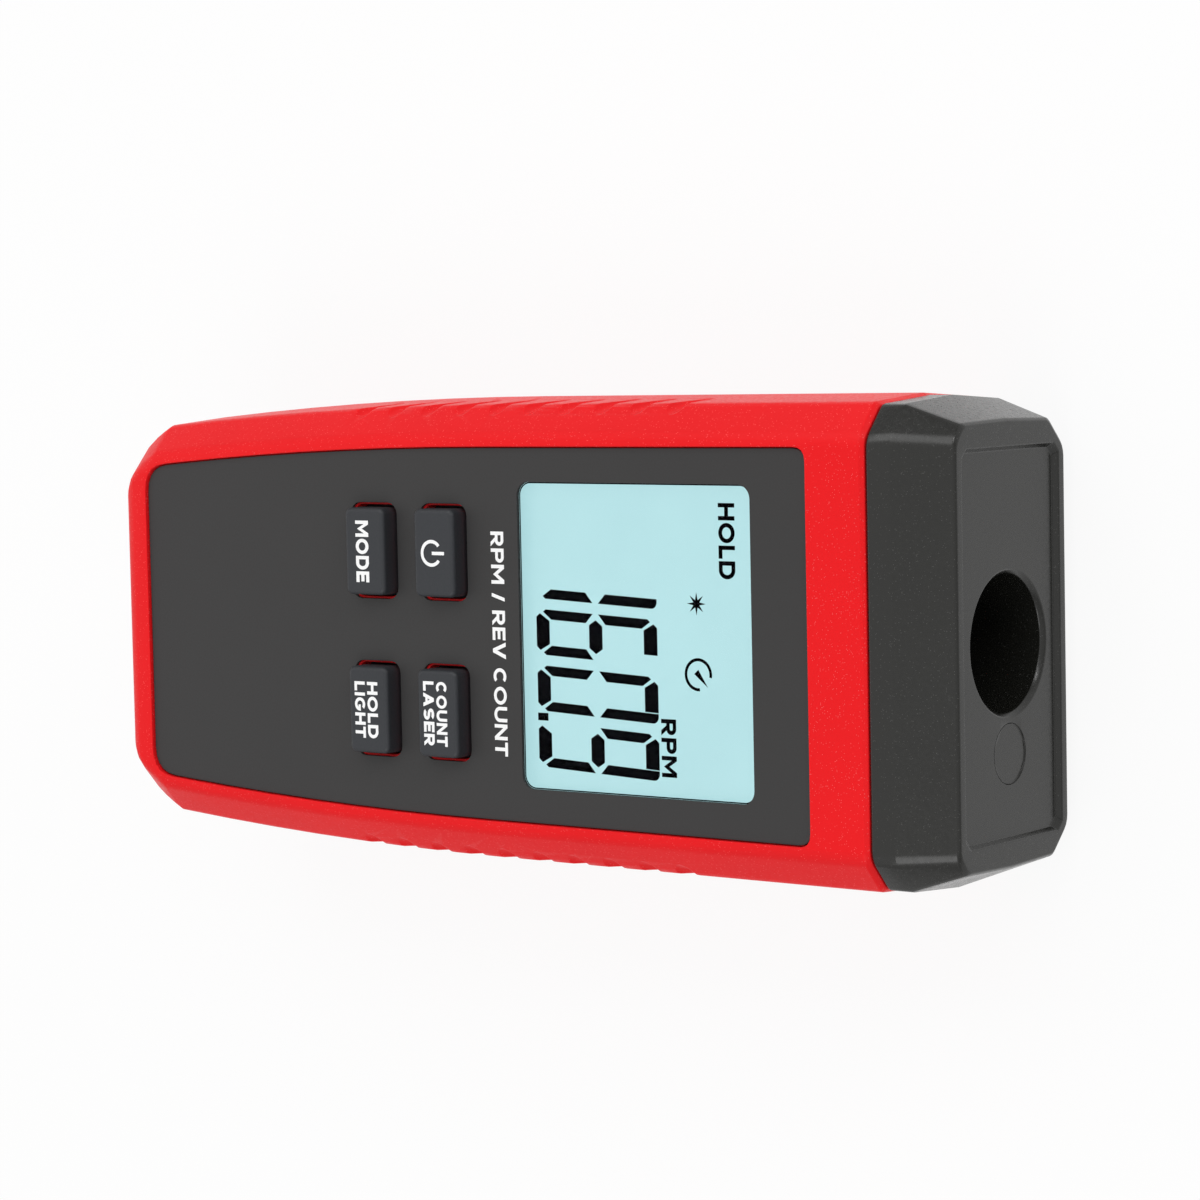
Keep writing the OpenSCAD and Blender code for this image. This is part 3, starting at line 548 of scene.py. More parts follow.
def cell_jacket(name, jacket, band, ends):
    """Printed jacket: bare metal at the ends, a warm band behind the positive end, which comes second."""
    material, tree, place, shader = new_finish(name)
    axis = add_node(tree, "ShaderNodeSeparateXYZ")
    feed(tree, axis.inputs["Vector"], place)
    ramp = add_node(tree, "ShaderNodeValToRGB")
    feed(tree, ramp.inputs["Fac"], map_range(tree, axis.outputs["X"], ends, 0, 1))
    jacket_from, band_from, rim_from = 0.012, 0.70, 0.965
    stops = ramp.color_ramp.elements
    ramp.color_ramp.interpolation = "CONSTANT"
    stops[0].color = rgba(BRIGHT_STEEL)
    stops[1].position = jacket_from
    stops[1].color = rgba(jacket)
    stops.new(band_from).color = rgba(band)
    stops.new(rim_from).color = rgba(BRIGHT_STEEL)
    feed_all(tree, shader, {"Base Color": ramp.outputs["Color"], "Metallic": 0.6})
    add_grain(tree, place, shader, scale=1200.0, roughness=(0.24, 0.36), height=0.004 * MM)
    return material


def make_finish(slot):
    """The material of one of the slots, made on first use."""
    name = f"{slot}_finish"
    found = bpy.data.materials.get(name)
    if found:
        return found
    for table, make in ((MOULDED, moulded), (METALS, metal), (GLASSES, glass)):
        if slot in table:
            return make(name, *table[slot])
    if slot == "circuit_board":
        return circuit_board(name)
    if slot == "display_glass":
        return lit_display(name, bpy.context.scene.tacho_finish.display)
    raise KeyError(slot)


# Flat print on the keys, the plate and the display. Reading runs along -Y and letters stand along +X.


def lay_flat(piece, right, up, z):
    """Turns a flat mesh into reading order and sets its middle at a place."""
    piece.matrix_world = Matrix.Translation((up, -right, z)) @ Matrix.Rotation(-math.pi / 2, 4, "Z")
    place_in_mesh(piece)


def print_words(name, words, long, tall, right, up, z, weight):
    """One line of capitals, stretched to its measured length and height."""
    shapes, pen = [], 0.0
    for sign in words:
        if sign == " ":
            pen += WORD_GAP
            continue
        wide, outlines = LETTERS[sign](weight)
        shapes += [[[(x + pen, y) for x, y in outline] for outline in shape] for shape in outlines]
        pen += wide + LETTER_GAP
    stretch = long / (pen - LETTER_GAP)
    middle = (pen - LETTER_GAP) / 2
    placed = [
        [[((x - middle) * stretch, (y - 0.5) * tall) for x, y in outline] for outline in shape]
        for shape in shapes
    ]
    return print_shapes(name, placed, right, up, z)


def thicken(piece, depth):
    """Extrudes a flat print upwards from the surface that it lies on."""
    with editing(piece):
        bpy.ops.mesh.remove_doubles(threshold=PRINT_MERGE)
        bpy.ops.mesh.extrude_region_move(TRANSFORM_OT_translate={"value": (0, 0, depth)})
        bpy.ops.mesh.select_all(action="SELECT")
        bpy.ops.mesh.normals_make_consistent(inside=False)


def fill(name, outlines):
    """A flat mesh inside one outline, with the outlines after the first cut out of it."""
    curve = bpy.data.curves.new(name, "CURVE")
    curve.dimensions = "2D"
    curve.fill_mode = "BOTH"
    for outline in outlines:
        spline = curve.splines.new("POLY")
        spline.points.add(len(outline) - 1)
        for point, (x, y) in zip(spline.points, outline):
            point.co = (x, y, 0, 1)
        spline.use_cyclic_u = True
    select_only(add_object(name, curve))
    bpy.ops.object.convert(target="MESH")
    return bpy.context.object


def print_shapes(name, shapes, right, up, z):
    """Ink in filled shapes, in metres about their own middle, right and up."""
    piece = join(*(fill(name, outlines) for outlines in shapes))
    thicken(piece, bpy.context.scene.tacho_sizes.ink)
    lay_flat(piece, right, up, z)
    return piece


def arc(radius, start, stop, steps=24):
    turns = [math.radians(start + (stop - start) * i / steps) for i in range(steps + 1)]
    return [(radius * math.cos(turn), radius * math.sin(turn)) for turn in turns]


def arc_band(inner, outer, start, stop):
    return arc(outer, start, stop) + arc(inner, stop, start)


def bar(x0, y0, x1, y1):
    return [(x0, y0), (x1, y0), (x1, y1), (x0, y1)]


# Capitals one unit tall: each gives its width and its shapes for a stroke of the given weight


LETTER_GAP = 0.13
WORD_GAP = 0.42
# Where C and G open, above and below level, in degrees
OPENING = 48
# Foot of the bowls of P and R
BOWL_FOOT = 0.34
# Crossbar, foot of a slanted stroke, and half the tip where two slants meet, as shares of the weight
CROSSBAR = 0.85
SLANT = 1.15
SLANT_TIP = 0.52


def oval(x0, y0, x1, y1, start=0, stop=360):
    """Arc of the oval that fills a box."""
    wide, tall = (x1 - x0) / 2, (y1 - y0) / 2
    return [(x0 + wide + wide * x, y0 + tall + tall * y) for x, y in arc(1, start, stop)]


def round_corners(right, up, radius):
    """Outline of a rectangle with round corners, by half its width and half its height."""
    turn = 2 * radius
    return [
        *oval(right - turn, up - turn, right, up, 0, 90),
        *oval(-right, up - turn, turn - right, up, 90, 180),
        *oval(-right, -up, turn - right, turn - up, 180, 270),
        *oval(right - turn, -up, right, turn - up, 270, 360),
    ]


def letter_a(w):
    wide, foot, tip, low = 1.02, SLANT * w, SLANT_TIP * w, 0.2
    lean, high = wide / 2 - tip, low + CROSSBAR * w
    under, over = foot + lean * low, foot + lean * high
    outer = [(0, 0), (foot, 0), (under, low), (wide - under, low), (wide - foot, 0), (wide, 0),
             (wide / 2 + tip, 1), (wide / 2 - tip, 1)]
    hole = [(over, high), (wide - over, high), (wide / 2, (wide / 2 - foot) / lean)]
    return wide, [[outer, hole]]


def letter_c(w):
    wide, stop = 0.98, 360 - OPENING
    return wide, [[oval(0, 0, wide, 1, OPENING, stop) + oval(w, w, wide - w, 1 - w, stop, OPENING)]]


def letter_d(w):
    wide = 0.96
    outer = [(0, 0), *oval(0, 0, wide, 1, -90, 90), (0, 1)]
    return wide, [[outer, [(w, w), *oval(w, w, wide - w, 1 - w, -90, 90), (w, 1 - w)]]]


def letter_e(w):
    wide, tongue, low = 0.76, 0.7, 0.5 - w / 2
    return wide, [[[(0, 0), (wide, 0), (wide, w), (w, w), (w, low), (tongue, low), (tongue, low + w),
                    (w, low + w), (w, 1 - w), (wide, 1 - w), (wide, 1), (0, 1)]]]


def letter_g(w):
    wide, left, top = 1.02, 0.54, 0.56
    low = top - CROSSBAR * w
    tongue = [(wide, top), (left, top), (left, low), (wide - w, low)]
    return wide, [[oval(0, 0, wide, 1, OPENING, 345) + tongue + oval(w, w, wide - w, 1 - w, 330, OPENING)]]


def letter_h(w):
    wide, low = 0.92, 0.5 - w / 2
    right, high = wide - w, low + w
    return wide, [[[(0, 0), (w, 0), (w, low), (right, low), (right, 0), (wide, 0), (wide, 1), (right, 1),
                    (right, high), (w, high), (w, 1), (0, 1)]]]


def letter_i(w):
    return w, [[bar(0, 0, w, 1)]]


def letter_l(w):
    wide = 0.7
    return wide, [[[(0, 0), (wide, 0), (wide, w), (w, w), (w, 1), (0, 1)]]]


def letter_m(w):
    wide, notch = 1.14, 1.1 * w
    shoulder, dip, valley = 0.66, 0.14, 0.5
    return wide, [[[(0, 0), (w, 0), (w, shoulder), (wide / 2, dip), (wide - w, shoulder), (wide - w, 0),
                    (wide, 0), (wide, 1), (wide - notch, 1), (wide / 2, valley), (notch, 1), (0, 1)]]]


def letter_n(w):
    wide, rise = 0.95, 1.55 * w
    return wide, [[[(0, 0), (w, 0), (w, 1 - rise), (wide - w, 0), (wide, 0), (wide, 1), (wide - w, 1),
                    (wide - w, rise), (w, 1), (0, 1)]]]


def letter_o(w):
    wide = 1.08
    return wide, [[oval(0, 0, wide, 1), oval(w, w, wide - w, 1 - w)]]


def letter_p(w):
    wide, low, bowl = 0.84, BOWL_FOOT, 0.2
    outer = [(0, 0), (w, 0), (w, low), *oval(bowl, low, wide, 1, -90, 90), (0, 1)]
    hole = [(w, low + w), *oval(bowl + w, low + w, wide - w, 1 - w, -90, 90), (w, 1 - w)]
    return wide, [[outer, hole]]


def letter_r(w):
    wide, left, leg = 0.88, 0.34, 1.2 * w
    bowl = letter_p(w)[1]
    return wide, [*bowl, [[(left, BOWL_FOOT), (wide - leg, 0), (wide, 0), (left + leg, BOWL_FOOT)]]]


def letter_s(w):
    wide, low = 0.84, 0.5 - w / 2
    top_end, foot_end = 32, -146
    return wide, [[
        oval(0, low, wide, 1, top_end, 270) + oval(w, w, wide - w, low, 90, foot_end)
        + oval(0, 0, wide, 1 - low, foot_end, 90) + oval(w, 1 - low, wide - w, 1 - w, 270, top_end)
    ]]


def letter_t(w):
    wide = 0.84
    left = (wide - w) / 2
    return wide, [[[(left, 0), (left + w, 0), (left + w, 1 - w), (wide, 1 - w), (wide, 1), (0, 1),
                    (0, 1 - w), (left, 1 - w)]]]


def letter_u(w):
    wide, bowl = 0.92, 0.84
    outer = [(0, 1), *oval(0, 0, wide, bowl, 180, 360), (wide, 1)]
    return wide, [[[*outer, (wide - w, 1), *oval(w, w, wide - w, bowl - w, 360, 180), (w, 1)]]]


def letter_v(w):
    wide, foot, tip = 1.0, SLANT * w, SLANT_TIP * w
    notch = 1 - (wide / 2 - foot) / (wide / 2 - tip)
    return wide, [[[(wide / 2 - tip, 0), (wide / 2 + tip, 0), (wide, 1), (wide - foot, 1),
                    (wide / 2, notch), (foot, 1), (0, 1)]]]


def slash(w):
    wide = 0.5
    return wide, [[[(0, 0), (w, 0), (wide, 1), (wide - w, 1)]]]


LETTERS = {
    "A": letter_a, "C": letter_c, "D": letter_d, "E": letter_e, "G": letter_g, "H": letter_h,
    "I": letter_i, "L": letter_l, "M": letter_m, "N": letter_n, "O": letter_o, "P": letter_p,
    "R": letter_r, "S": letter_s, "T": letter_t, "U": letter_u, "V": letter_v, "/": slash,
}


# Signs


def power_sign(radius, stroke):
    """Open ring with a bar in its gap."""
    half_gap, foot, tip = 38, 0.05 * radius, 1.2 * radius
    return [
        [arc_band(radius - stroke, radius, 90 + half_gap, 450 - half_gap)],
        [bar(-stroke / 2, foot, stroke / 2, tip)],
    ]


def star(inner, outer, points):
    """Starburst with its first point up."""
    turns = [math.pi / 2 + math.pi * i / points for i in range(2 * points)]
    reach = [(outer, inner)[i % 2] for i in range(2 * points)]
    return [[[(r * math.cos(turn), r * math.sin(turn)) for r, turn in zip(reach, turns)]]]


def gauge_sign(radius, stroke):
    """Dial with an open corner and a needle that points through it."""
    ring_start, ring_stop, needle_turn = 80, 366, 42
    needle = [(-0.22, 0.2), (1.0, 0.0), (-0.22, -0.2)]
    lean = Matrix.Rotation(math.radians(needle_turn), 2)
    placed = [tuple(lean @ Vector(point) * radius) for point in needle]
    return [[arc_band(radius - stroke, radius, ring_start, ring_stop)], [placed]]


# Seven-segment digits: which bars are lit, from the top round clockwise and then the middle
DIGIT_BARS = {"0": "abcdef", "1": "bc", "6": "acdefg", "9": "abcdfg"}

# Corners of a digit's bars, as shares of their thickness: in from the outer side, then up from the foot
BAR_FOOT = ((0.82, 0.0), (0.45, 0.27), (1.15, 1.0))
BAR_TIP = ((0.0, 0.72), (0.26, 0.52), (1.0, 1.15))
BAR_POINT = ((0.62, 0.0), (1.17, 1.0))
# Distance of the uprights from the middle, at their outer and inner sides, and the turn at the top
BAR_WAIST = (0.21, 0.75)
BAR_TURN = 0.72


def digit_bars(digit, wide, tall, middle, upright, level, gap, slant):
    """Outlines of one digit's lit bars, about the middle of its foot."""
    half, inner, side = wide / 2, wide / 2 - upright, level / 2
    tip, foot = ([(half - x * upright, y * level) for x, y in shares] for shares in (BAR_TIP, BAR_FOOT))
    point = [(half - x * upright, middle + y * side) for x, y in BAR_POINT]
    near, far = (share * level for share in BAR_WAIST)
    low_right = [*tip, (inner, middle - far), (half, middle - near)]
    high_left = [*((-x, tall - y) for x, y in tip), (-inner, middle + far), (-half, middle + near)]
    turn = 2 * BAR_TURN * upright
    crown = oval(half - turn, tall - turn, half, tall, 0, 90)
    bars = {
        "a": [(inner - gap, tall - level), (inner - gap, tall), *((-x, tall - y) for x, y in foot)],
        "b": [(inner, tall), (inner, middle + far), (half, middle + near), *crown],
        "c": low_right,
        "d": foot + [(-x, y) for x, y in reversed(foot)],
        "e": [(-x, y) for x, y in low_right],
        "f": high_left,
        "g": [(-x, y) for x, y in point] + point[::-1]
             + [(x, 2 * middle - y) for x, y in point[1:]] + [(-x, 2 * middle - y) for x, y in point[1:]],
    }
    return [[(x + slant * (y - middle), y) for x, y in bars[name]] for name in DIGIT_BARS[digit]]


# Pieces


class TACHO_OT_red_shells(bpy.types.Operator):
    """Front shell, rear shell and battery cover with softened edges"""

    bl_idname = "tacho.red_shells"
    bl_label = "Red shells"

    def execute(self, context):
        edge = context.scene.tacho_sizes.shell_edge
        bodies = {"front_shell": "housing", "rear_shell": "housing", "battery_cover": "battery_cover"}
        for node, body in bodies.items():
            soften_node(node, f"{node}_moulding", body, "red_plastic", edge, segments=2, sharp=32)
        return {"FINISHED"}


class TACHO_OT_sensor_cap(bpy.types.Operator):
    """Sensor cap with a crisp bend and softened edges"""

    bl_idname = "tacho.sensor_cap"
    bl_label = "Sensor cap"

    def execute(self, context):
        edge = context.scene.tacho_sizes.cap_edge
        soften_node("sensor_cap", "sensor_cap_moulding", "housing", "cap_plastic", edge,
                    segments=3, sharp=24, blend=15.5)
        return {"FINISHED"}


class TACHO_OT_face_plate(bpy.types.Operator):
    """Face plate with softened edges"""

    bl_idname = "tacho.face_plate"
    bl_label = "Face plate"

    def execute(self, context):
        edge = context.scene.tacho_sizes.plate_edge
        soften_node("face_plate", "face_plate_film", "housing", "plate_plastic", edge, segments=2, sharp=40)
        return {"FINISHED"}


class TACHO_OT_display(bpy.types.Operator):
    """Clear window, a black ring of painted shadow along the plate's opening, and the digits and signs on
    the display
    """

    bl_idname = "tacho.display"
    bl_label = "Display"

    # Layout in millimetres about the window's middle, right and up as the display is read. The slant and
    # the weight of the letters are shares of the height.
    digits = "1609"
    digit_pitch = 6.6
    first_digit = -6.65
    digit_foot = -14.95
    digit_size = (5.35, 17.35)
    digit_middle = 8.6
    bar_width = (1.15, 1.9)
    bar_gap = 0.1
    slant = 0.048
    point_place = (9.55, -15.0)
    point_size = (0.9, 1.5)
    # Words, each with its piece, length, height, right and up
    words = (
        ("HOLD", "display_hold", 8.6, 2.24, -11.54, 12.27),
        ("RPM", "display_rpm", 6.7, 2.1, 12.35, 3.77),
    )
    word_weight = 0.23
    gauge_size = (1.9, 0.36)
    gauge_place = (3.72, 8.05)
    beam_size = (0.45, 1.3)
    beam_points = 8
    beam_place = (-4.35, 7.95)
    # The black ring of painted shadow starts this share of its width in from the opening
    mask_start = 0.1

    def execute(self, context):
        self.make_window(context.scene.tacho_sizes)
        self.make_mask(context.scene.tacho_sizes)
        self.make_digits()
        self.make_signs()
        return {"FINISHED"}

    def make_window(self, sizes):
        low = WINDOW_LOW + Vector((0, 0, sizes.window_air))
        piece = add_block("clear_window_pane", low, WINDOW_HIGH.copy())
        with editing(piece):
            round_uprights(piece, sizes.window_corner, segments=4)
            round_top(piece, WINDOW_HIGH.z, sizes.window_edge, segments=2)
        smooth(piece)
        finish_piece(piece, "housing", "clear_window", "display_window")

    # Painted shadow: a thin black ink ring inside the plate's opening stands in for the shade of the
    # opening's wall
    def make_mask(self, sizes):
        right, up = (WINDOW_HIGH - WINDOW_MIDDLE).yx - Vector((sizes.window_lap, sizes.window_lap))
        outlines = [
            round_corners(right - inset, up - inset, sizes.opening_corner - inset)
            for inset in (self.mask_start * sizes.window_mask, sizes.window_mask)
        ]
        self.ink(print_shapes("window_mask", [outlines], 0, WINDOW_MIDDLE.x, WINDOW_HIGH.z))

    def make_digits(self):
        shapes = []
        for i, digit in enumerate(self.digits):
            middle = self.first_digit + i * self.digit_pitch
            bars = digit_bars(
                digit, *self.digit_size, self.digit_middle, *self.bar_width, self.bar_gap, self.slant)
            for outline in bars:
                shapes.append([[((x + middle) * MM, (y + self.digit_foot) * MM) for x, y in outline]])
        (x, y), (wide, tall) = self.point_place, self.point_size
        shapes.append([[(px * MM, py * MM) for px, py in bar(x - wide / 2, y, x + wide / 2, y + tall)]])
        self.lay_on_display("display_digits", shapes, 0, 0)

    def make_signs(self):
        for words, name, long, tall, right, up in self.words:
            piece = print_words(name, words, long * MM, tall * MM, right * MM, WINDOW_MIDDLE.x + up * MM,
                                GLASS_TOP, self.word_weight)
            self.ink(piece)
        gauge = gauge_sign(*(size * MM for size in self.gauge_size))
        self.lay_on_display("display_gauge", gauge, *self.gauge_place)
        beam = star(*(size * MM for size in self.beam_size), self.beam_points)
        self.lay_on_display("display_beam", beam, *self.beam_place)

    def lay_on_display(self, name, shapes, right, up):
        self.ink(print_shapes(name, shapes, right * MM, WINDOW_MIDDLE.x + up * MM, GLASS_TOP))

    def ink(self, piece):
        finish_piece(piece, "housing", "display_glass", finish=make_finish("digit_ink"))


class TACHO_OT_keys(bpy.types.Operator):
    """Four soft keys with rounded edges, each on its flange and plunger"""

    bl_idname = "tacho.keys"
    bl_label = "Keys"

    # In millimetres: how far the button and the plunger sink into the flange, and the plunger's lower edge
    button_seat = 0.2
    plunger_seat = 0.1
    plunger_edge = 0.2
    plunger_sides = 32

    def execute(self, context):
        sizes = context.scene.tacho_sizes
        for node in KEYS:
            finish_piece(self.make_key(node, sizes), node, "key_rubber", node)
        return {"FINISHED"}

    def make_key(self, node, sizes):
        low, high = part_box(node)
        lap = Vector((sizes.flange_lap, sizes.flange_lap, 0))
        flange_z = high.z - sizes.flange_low
        flange_top = flange_z + sizes.flange_thick
        top = high.z - sizes.ink
        seat = flange_top - self.button_seat * MM
        button = add_block(
            f"{node}_button", Vector((*(low + lap).xy, seat)), Vector((*(high - lap).xy, top)))
        with editing(button):
            round_uprights(button, sizes.key_corner, segments=6)
            round_top(button, top, sizes.key_edge, segments=6)
        flange = add_block(f"{node}_flange", Vector((*low.xy, flange_z)), Vector((*high.xy, flange_top)))
        with editing(flange):
            round_uprights(flange, sizes.key_corner, segments=4)
        middle = (low + high) / 2
        depth = flange_z - low.z + self.plunger_seat * MM
        place = (middle.x, middle.y, low.z + depth / 2)
        plunger = add_cylinder(f"{node}_plunger", self.plunger_sides, sizes.plunger, depth, place)
        with editing(plunger):
            round_picked(plunger, self.plunger_edge * MM, 2, lambda a, b: max(a.z, b.z) < low.z + LEVEL)
        smooth(join(button, flange, plunger))
        return button


class TACHO_OT_legends(bpy.types.Operator):
    """White legends on the keys and the face plate"""

    bl_idname = "tacho.legends"
    bl_label = "Legends"

    # Sizes in millimetres, and weights as shares of a capital's height. The lines of a key's legend have
    # words, length, height and place above the legend's middle.
    key_lines = {
        "mode_key": [("MODE", 7.4, 2.0, 0.0)],
        "hold_key": [("HOLD", 6.8, 1.6, 1.02), ("LIGHT", 6.8, 1.6, -0.94)],
        "laser_key": [("COUNT", 7.7, 1.6, 1.02), ("LASER", 7.7, 1.6, -0.94)],
    }
    key_weight = 0.24
    power_radius = 1.6
    power_stroke = 0.4
    strip_words = "RPM / REV COUNT"
    strip_size = (26.5, 1.9)
    strip_gap = 3.05
    strip_shift = 1.1
    strip_weight = 0.21

    def execute(self, context):
        sizes, ink = context.scene.tacho_sizes, make_finish("legend_ink")
        for node, lines in self.key_lines.items():
            middle, top = self.key_middle(node, sizes)
            for words, long, tall, above in lines:
                piece = print_words(f"{node}_{words.lower()}", words, long * MM, tall * MM, -middle.y,
                                    middle.x + above * MM, top, self.key_weight)
                finish_piece(piece, node, "key_rubber", finish=ink)
        middle, top = self.key_middle("power_key", sizes)
        sign = power_sign(self.power_radius * MM, self.power_stroke * MM)
        piece = print_shapes("power_key_sign", sign, -middle.y, middle.x, top)
        finish_piece(piece, "power_key", "key_rubber", finish=ink)
        long, tall = self.strip_size
        strip_x = WINDOW_LOW.x + sizes.window_lap - self.strip_gap * MM
        piece = print_words("plate_units", self.strip_words, long * MM, tall * MM, self.strip_shift * MM,
                            strip_x, PLATE_TOP, self.strip_weight)
        finish_piece(piece, "housing", "plate_plastic", finish=ink)
        return {"FINISHED"}

    def key_middle(self, node, sizes):
        low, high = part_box(node)
        middle = (low + high) / 2
        return Vector((middle.x - sizes.legend_shift, middle.y)), high.z - sizes.ink


class TACHO_OT_cells(bpy.types.Operator):
    """Three cells with crimped ends, and their coil springs"""

    bl_idname = "tacho.cells"
    bl_label = "Cells and springs"

    # The cell that lies the other way round
    turned_cell = "battery_2"
    cell_sides = 48
    # Edges past this share of the radius are the rims that are crimped
    rim_share = 0.9
    # Ring round the dished end, as a share of the radius, and the dish's depth in millimetres
    dish_ring = 0.3
    dish_depth = 0.15
    # An end's faces point along the cell at least this far
    end_facing = 0.9
    # Faces of a coil that meet at less than this angle are shaded smooth, in degrees
    coil_angle = 60

    def execute(self, context):
        sizes, tones = context.scene.tacho_sizes, context.scene.tacho_finish
        for node in CELLS:
            low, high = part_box(node)
            front = -1 if node == self.turned_cell else 1
            piece = self.make_cell(node, sizes, low, high, front)
            ends = (low.x, high.x)[::front]
            jacket = cell_jacket(f"{node}_jacket", tones.jacket, tones.jacket_band, ends)
            finish_piece(piece, "housing", "cell_jacket", node, finish=jacket)
        for node in SPRINGS:
            piece = copy_of(node, f"{node}_coil")
            smooth(piece, self.coil_angle)
            finish_piece(piece, "housing", "spring_steel", node)
        return {"FINISHED"}

    def make_cell(self, node, sizes, low, high, front):
        """A cell along X, with its nub towards +X where front is 1 and towards -X where it is -1."""
        middle = (low + high) / 2
        radius = (high.z - low.z) / 2
        body = high.x - low.x - sizes.nub_length
        place = (middle.x - front * sizes.nub_length / 2, middle.y, middle.z)
        piece = add_cylinder(f"{node}_cell", self.cell_sides, radius, body, place, front * math.pi / 2)

        def at_rim(a, b):
            reach = math.hypot(a.y - middle.y, a.z - middle.z)
            return abs(a.x - b.x) < LEVEL and reach > radius * self.rim_share

        with editing(piece):
            pick(piece, "FACE", lambda face: face.normal.x * front > self.end_facing)
            bpy.ops.mesh.inset(thickness=radius - sizes.nub_radius)
            self.push(front * sizes.nub_length)
            round_picked(piece, sizes.crimp, 4, at_rim)
            pick(piece, "FACE", lambda face: face.normal.x * front < -self.end_facing)
            bpy.ops.mesh.inset(thickness=radius * self.dish_ring)
            self.push(front * self.dish_depth * MM)
        smooth(piece)
        return piece

    @staticmethod
    def push(distance):
        """Extrudes the picked faces along X."""
        bpy.ops.mesh.extrude_region_move(TRANSFORM_OT_translate={"value": (distance, 0, 0)})


class TACHO_OT_frame_pieces(bpy.types.Operator):
    """Finishes of the inner pieces that keep the frame's own shapes"""

    bl_idname = "tacho.frame_pieces"
    bl_label = "Inner pieces"

    def execute(self, context):
        for slot, nodes in FRAME_FINISHES.items():
            for node in nodes:
                set_material(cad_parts[node], make_finish(slot))
        return {"FINISHED"}


# Stage


def seen_rays(tree, path):
    """1 for rays that show the background to the camera, straight or through glass."""
    return calculate(tree, "MAXIMUM", path.outputs["Is Camera Ray"], path.outputs["Is Transmission Ray"])


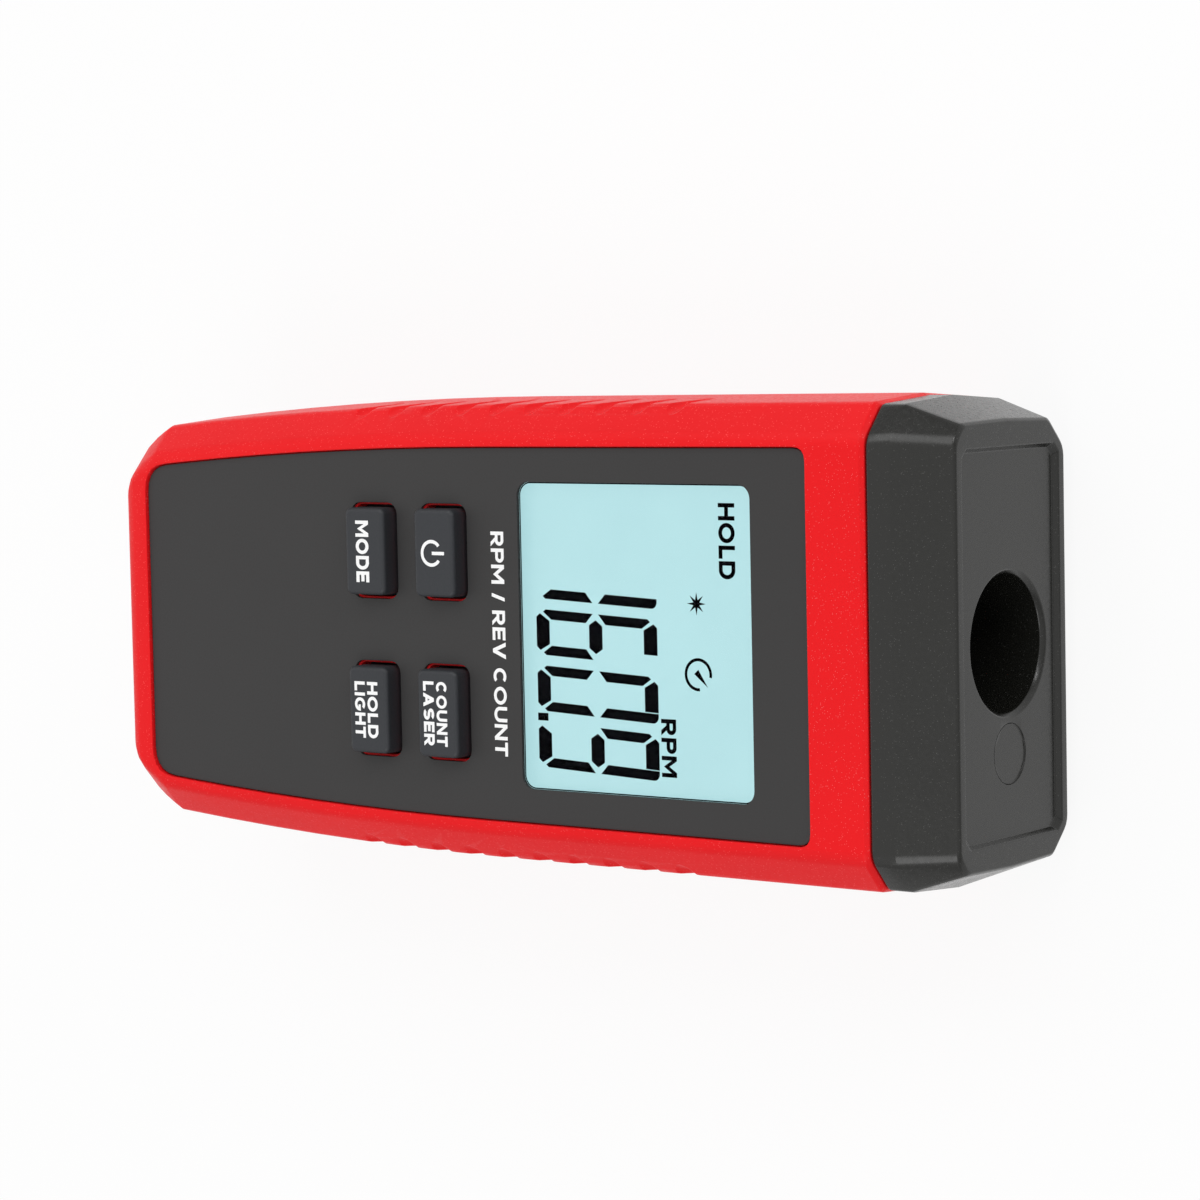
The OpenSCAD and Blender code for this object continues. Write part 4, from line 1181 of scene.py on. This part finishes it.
class TACHO_OT_stage(bpy.types.Operator):
    """Pale floor, soft studio light and the camera"""

    bl_idname = "tacho.stage"
    bl_label = "Stage"

    # Soft lights: name, the setting of its power, place and size in metres
    softboxes = (
        ("side_softbox", "side_light", (0.02, 0.55, 0.52), (0.9, 0.5)),
        ("tail_softbox", "tail_light", (-0.68, 0.08, 0.26), (0.5, 0.5)),
        ("near_softbox", "near_light", (0.1, -0.45, 0.6), (0.6, 0.4)),
        ("glint_softbox", "glint_light", (0.5, 0.44, 0.25), (0.12, 0.12)),
    )
    lit_point = Vector((0, 0, 0.015))
    sensor_width = 36
    nearest = 0.01
    paper = (0.82, 0.82, 0.82)
    # Heights of a ray's direction between which reflections brighten from the horizon to white
    horizon_band = (0.1, 0.6)

    def execute(self, context):
        stage = context.scene.tacho_stage
        context.scene.view_settings.view_transform = "Standard"
        self.make_camera(context, stage)
        self.make_floor(stage)
        self.make_sky(context, stage)
        for name, setting, place, size in self.softboxes:
            self.make_light(name, getattr(stage, setting), place, size)
        return {"FINISHED"}

    def make_camera(self, context, stage):
        data = bpy.data.cameras.new("camera")
        data.lens = stage.lens
        data.sensor_width = self.sensor_width
        data.clip_start = self.nearest
        camera = add_object("camera", data)
        right = Vector(stage.right).normalized()
        back = right.cross(Vector(stage.up)).normalized()
        turn = Matrix((right, back.cross(right), back)).transposed().to_4x4()
        camera.matrix_world = Matrix.Translation(stage.eye) @ turn
        context.scene.camera = camera

    def make_floor(self, stage):
        bpy.ops.mesh.primitive_plane_add(size=stage.floor_size)
        floor = bpy.context.object
        floor.name = "floor"
        material, tree, place, shader = new_finish("floor_paper")
        tone = drift_colour(tree, place, self.paper, amount=0.01, scale=3.0)
        feed_all(tree, shader, {"Base Color": tone, "Roughness": 1.0, "Specular IOR Level": 0.0})
        white = add_node(tree, "ShaderNodeEmission")
        path = add_node(tree, "ShaderNodeLightPath")
        shown = calculate(tree, "MAXIMUM", seen_rays(tree, path), path.outputs["Is Glossy Ray"])
        share = calculate(tree, "MULTIPLY", shown, stage.floor_glow)
        blend = add_node(tree, "ShaderNodeMixShader")
        feed_all(tree, blend, {"Fac": share, 1: shader.outputs["BSDF"], 2: white.outputs["Emission"]})
        feed(tree, tree.nodes["Material Output"].inputs["Surface"], blend.outputs["Shader"])
        floor.data.materials.append(material)

    def make_sky(self, context, stage):
        world = bpy.data.worlds.new("studio")
        context.scene.world = world
        world.use_nodes = True
        tree = world.node_tree
        sky = tree.nodes["Background"]
        sky.inputs["Color"].default_value = (1, 1, 1, 1)
        path = add_node(tree, "ShaderNodeLightPath")
        height = add_node(tree, "ShaderNodeSeparateXYZ")
        feed(tree, height.inputs["Vector"], add_node(tree, "ShaderNodeTexCoord").outputs["Generated"])
        gloss = map_range(tree, height.outputs["Z"], self.horizon_band, stage.horizon, 1)
        lit = mix(tree, "FLOAT", path.outputs["Is Glossy Ray"], stage.sky, gloss)
        feed(tree, sky.inputs["Strength"], mix(tree, "FLOAT", seen_rays(tree, path), lit, 1))

    def make_light(self, name, watts, place, size):
        data = bpy.data.lights.new(name, "AREA")
        data.shape = "RECTANGLE"
        data.size, data.size_y = size
        data.energy = watts
        light = add_object(name, data)
        light.location = place
        light.rotation_euler = (self.lit_point - Vector(place)).to_track_quat("-Z", "Y").to_euler()


SETTINGS = {"tacho_finish": TachoFinish, "tacho_sizes": TachoSizes, "tacho_stage": TachoStage}

STEPS = (
    TACHO_OT_stage,
    TACHO_OT_red_shells,
    TACHO_OT_sensor_cap,
    TACHO_OT_face_plate,
    TACHO_OT_display,
    TACHO_OT_keys,
    TACHO_OT_legends,
    TACHO_OT_cells,
    TACHO_OT_frame_pieces,
)


class TACHO_PT_pieces(bpy.types.Panel):
    """Steps and settings of the tachometer"""

    bl_idname = "TACHO_PT_pieces"
    bl_label = "Tachometer"
    bl_space_type = "VIEW_3D"
    bl_region_type = "UI"
    bl_category = "Tachometer"

    def draw(self, context):
        for step in STEPS:
            self.layout.operator(step.bl_idname)
        for name in SETTINGS:
            settings, box = getattr(context.scene, name), self.layout.box()
            for setting in settings.__annotations__:
                box.prop(settings, setting)


CLASSES = (*SETTINGS.values(), *STEPS, TACHO_PT_pieces)


def register():
    for item in CLASSES:
        bpy.utils.register_class(item)
    for name, group in SETTINGS.items():
        setattr(bpy.types.Scene, name, bpy.props.PointerProperty(type=group))


def unregister():
    for name in SETTINGS:
        delattr(bpy.types.Scene, name)
    for item in reversed(CLASSES):
        bpy.utils.unregister_class(item)


def main():
    register()
    bpy.ops.tacho.stage()
    bpy.ops.tacho.red_shells()
    bpy.ops.tacho.sensor_cap()
    bpy.ops.tacho.face_plate()
    bpy.ops.tacho.display()
    bpy.ops.tacho.keys()
    bpy.ops.tacho.legends()
    bpy.ops.tacho.cells()
    bpy.ops.tacho.frame_pieces()


if __name__ == "__main__":
    main()
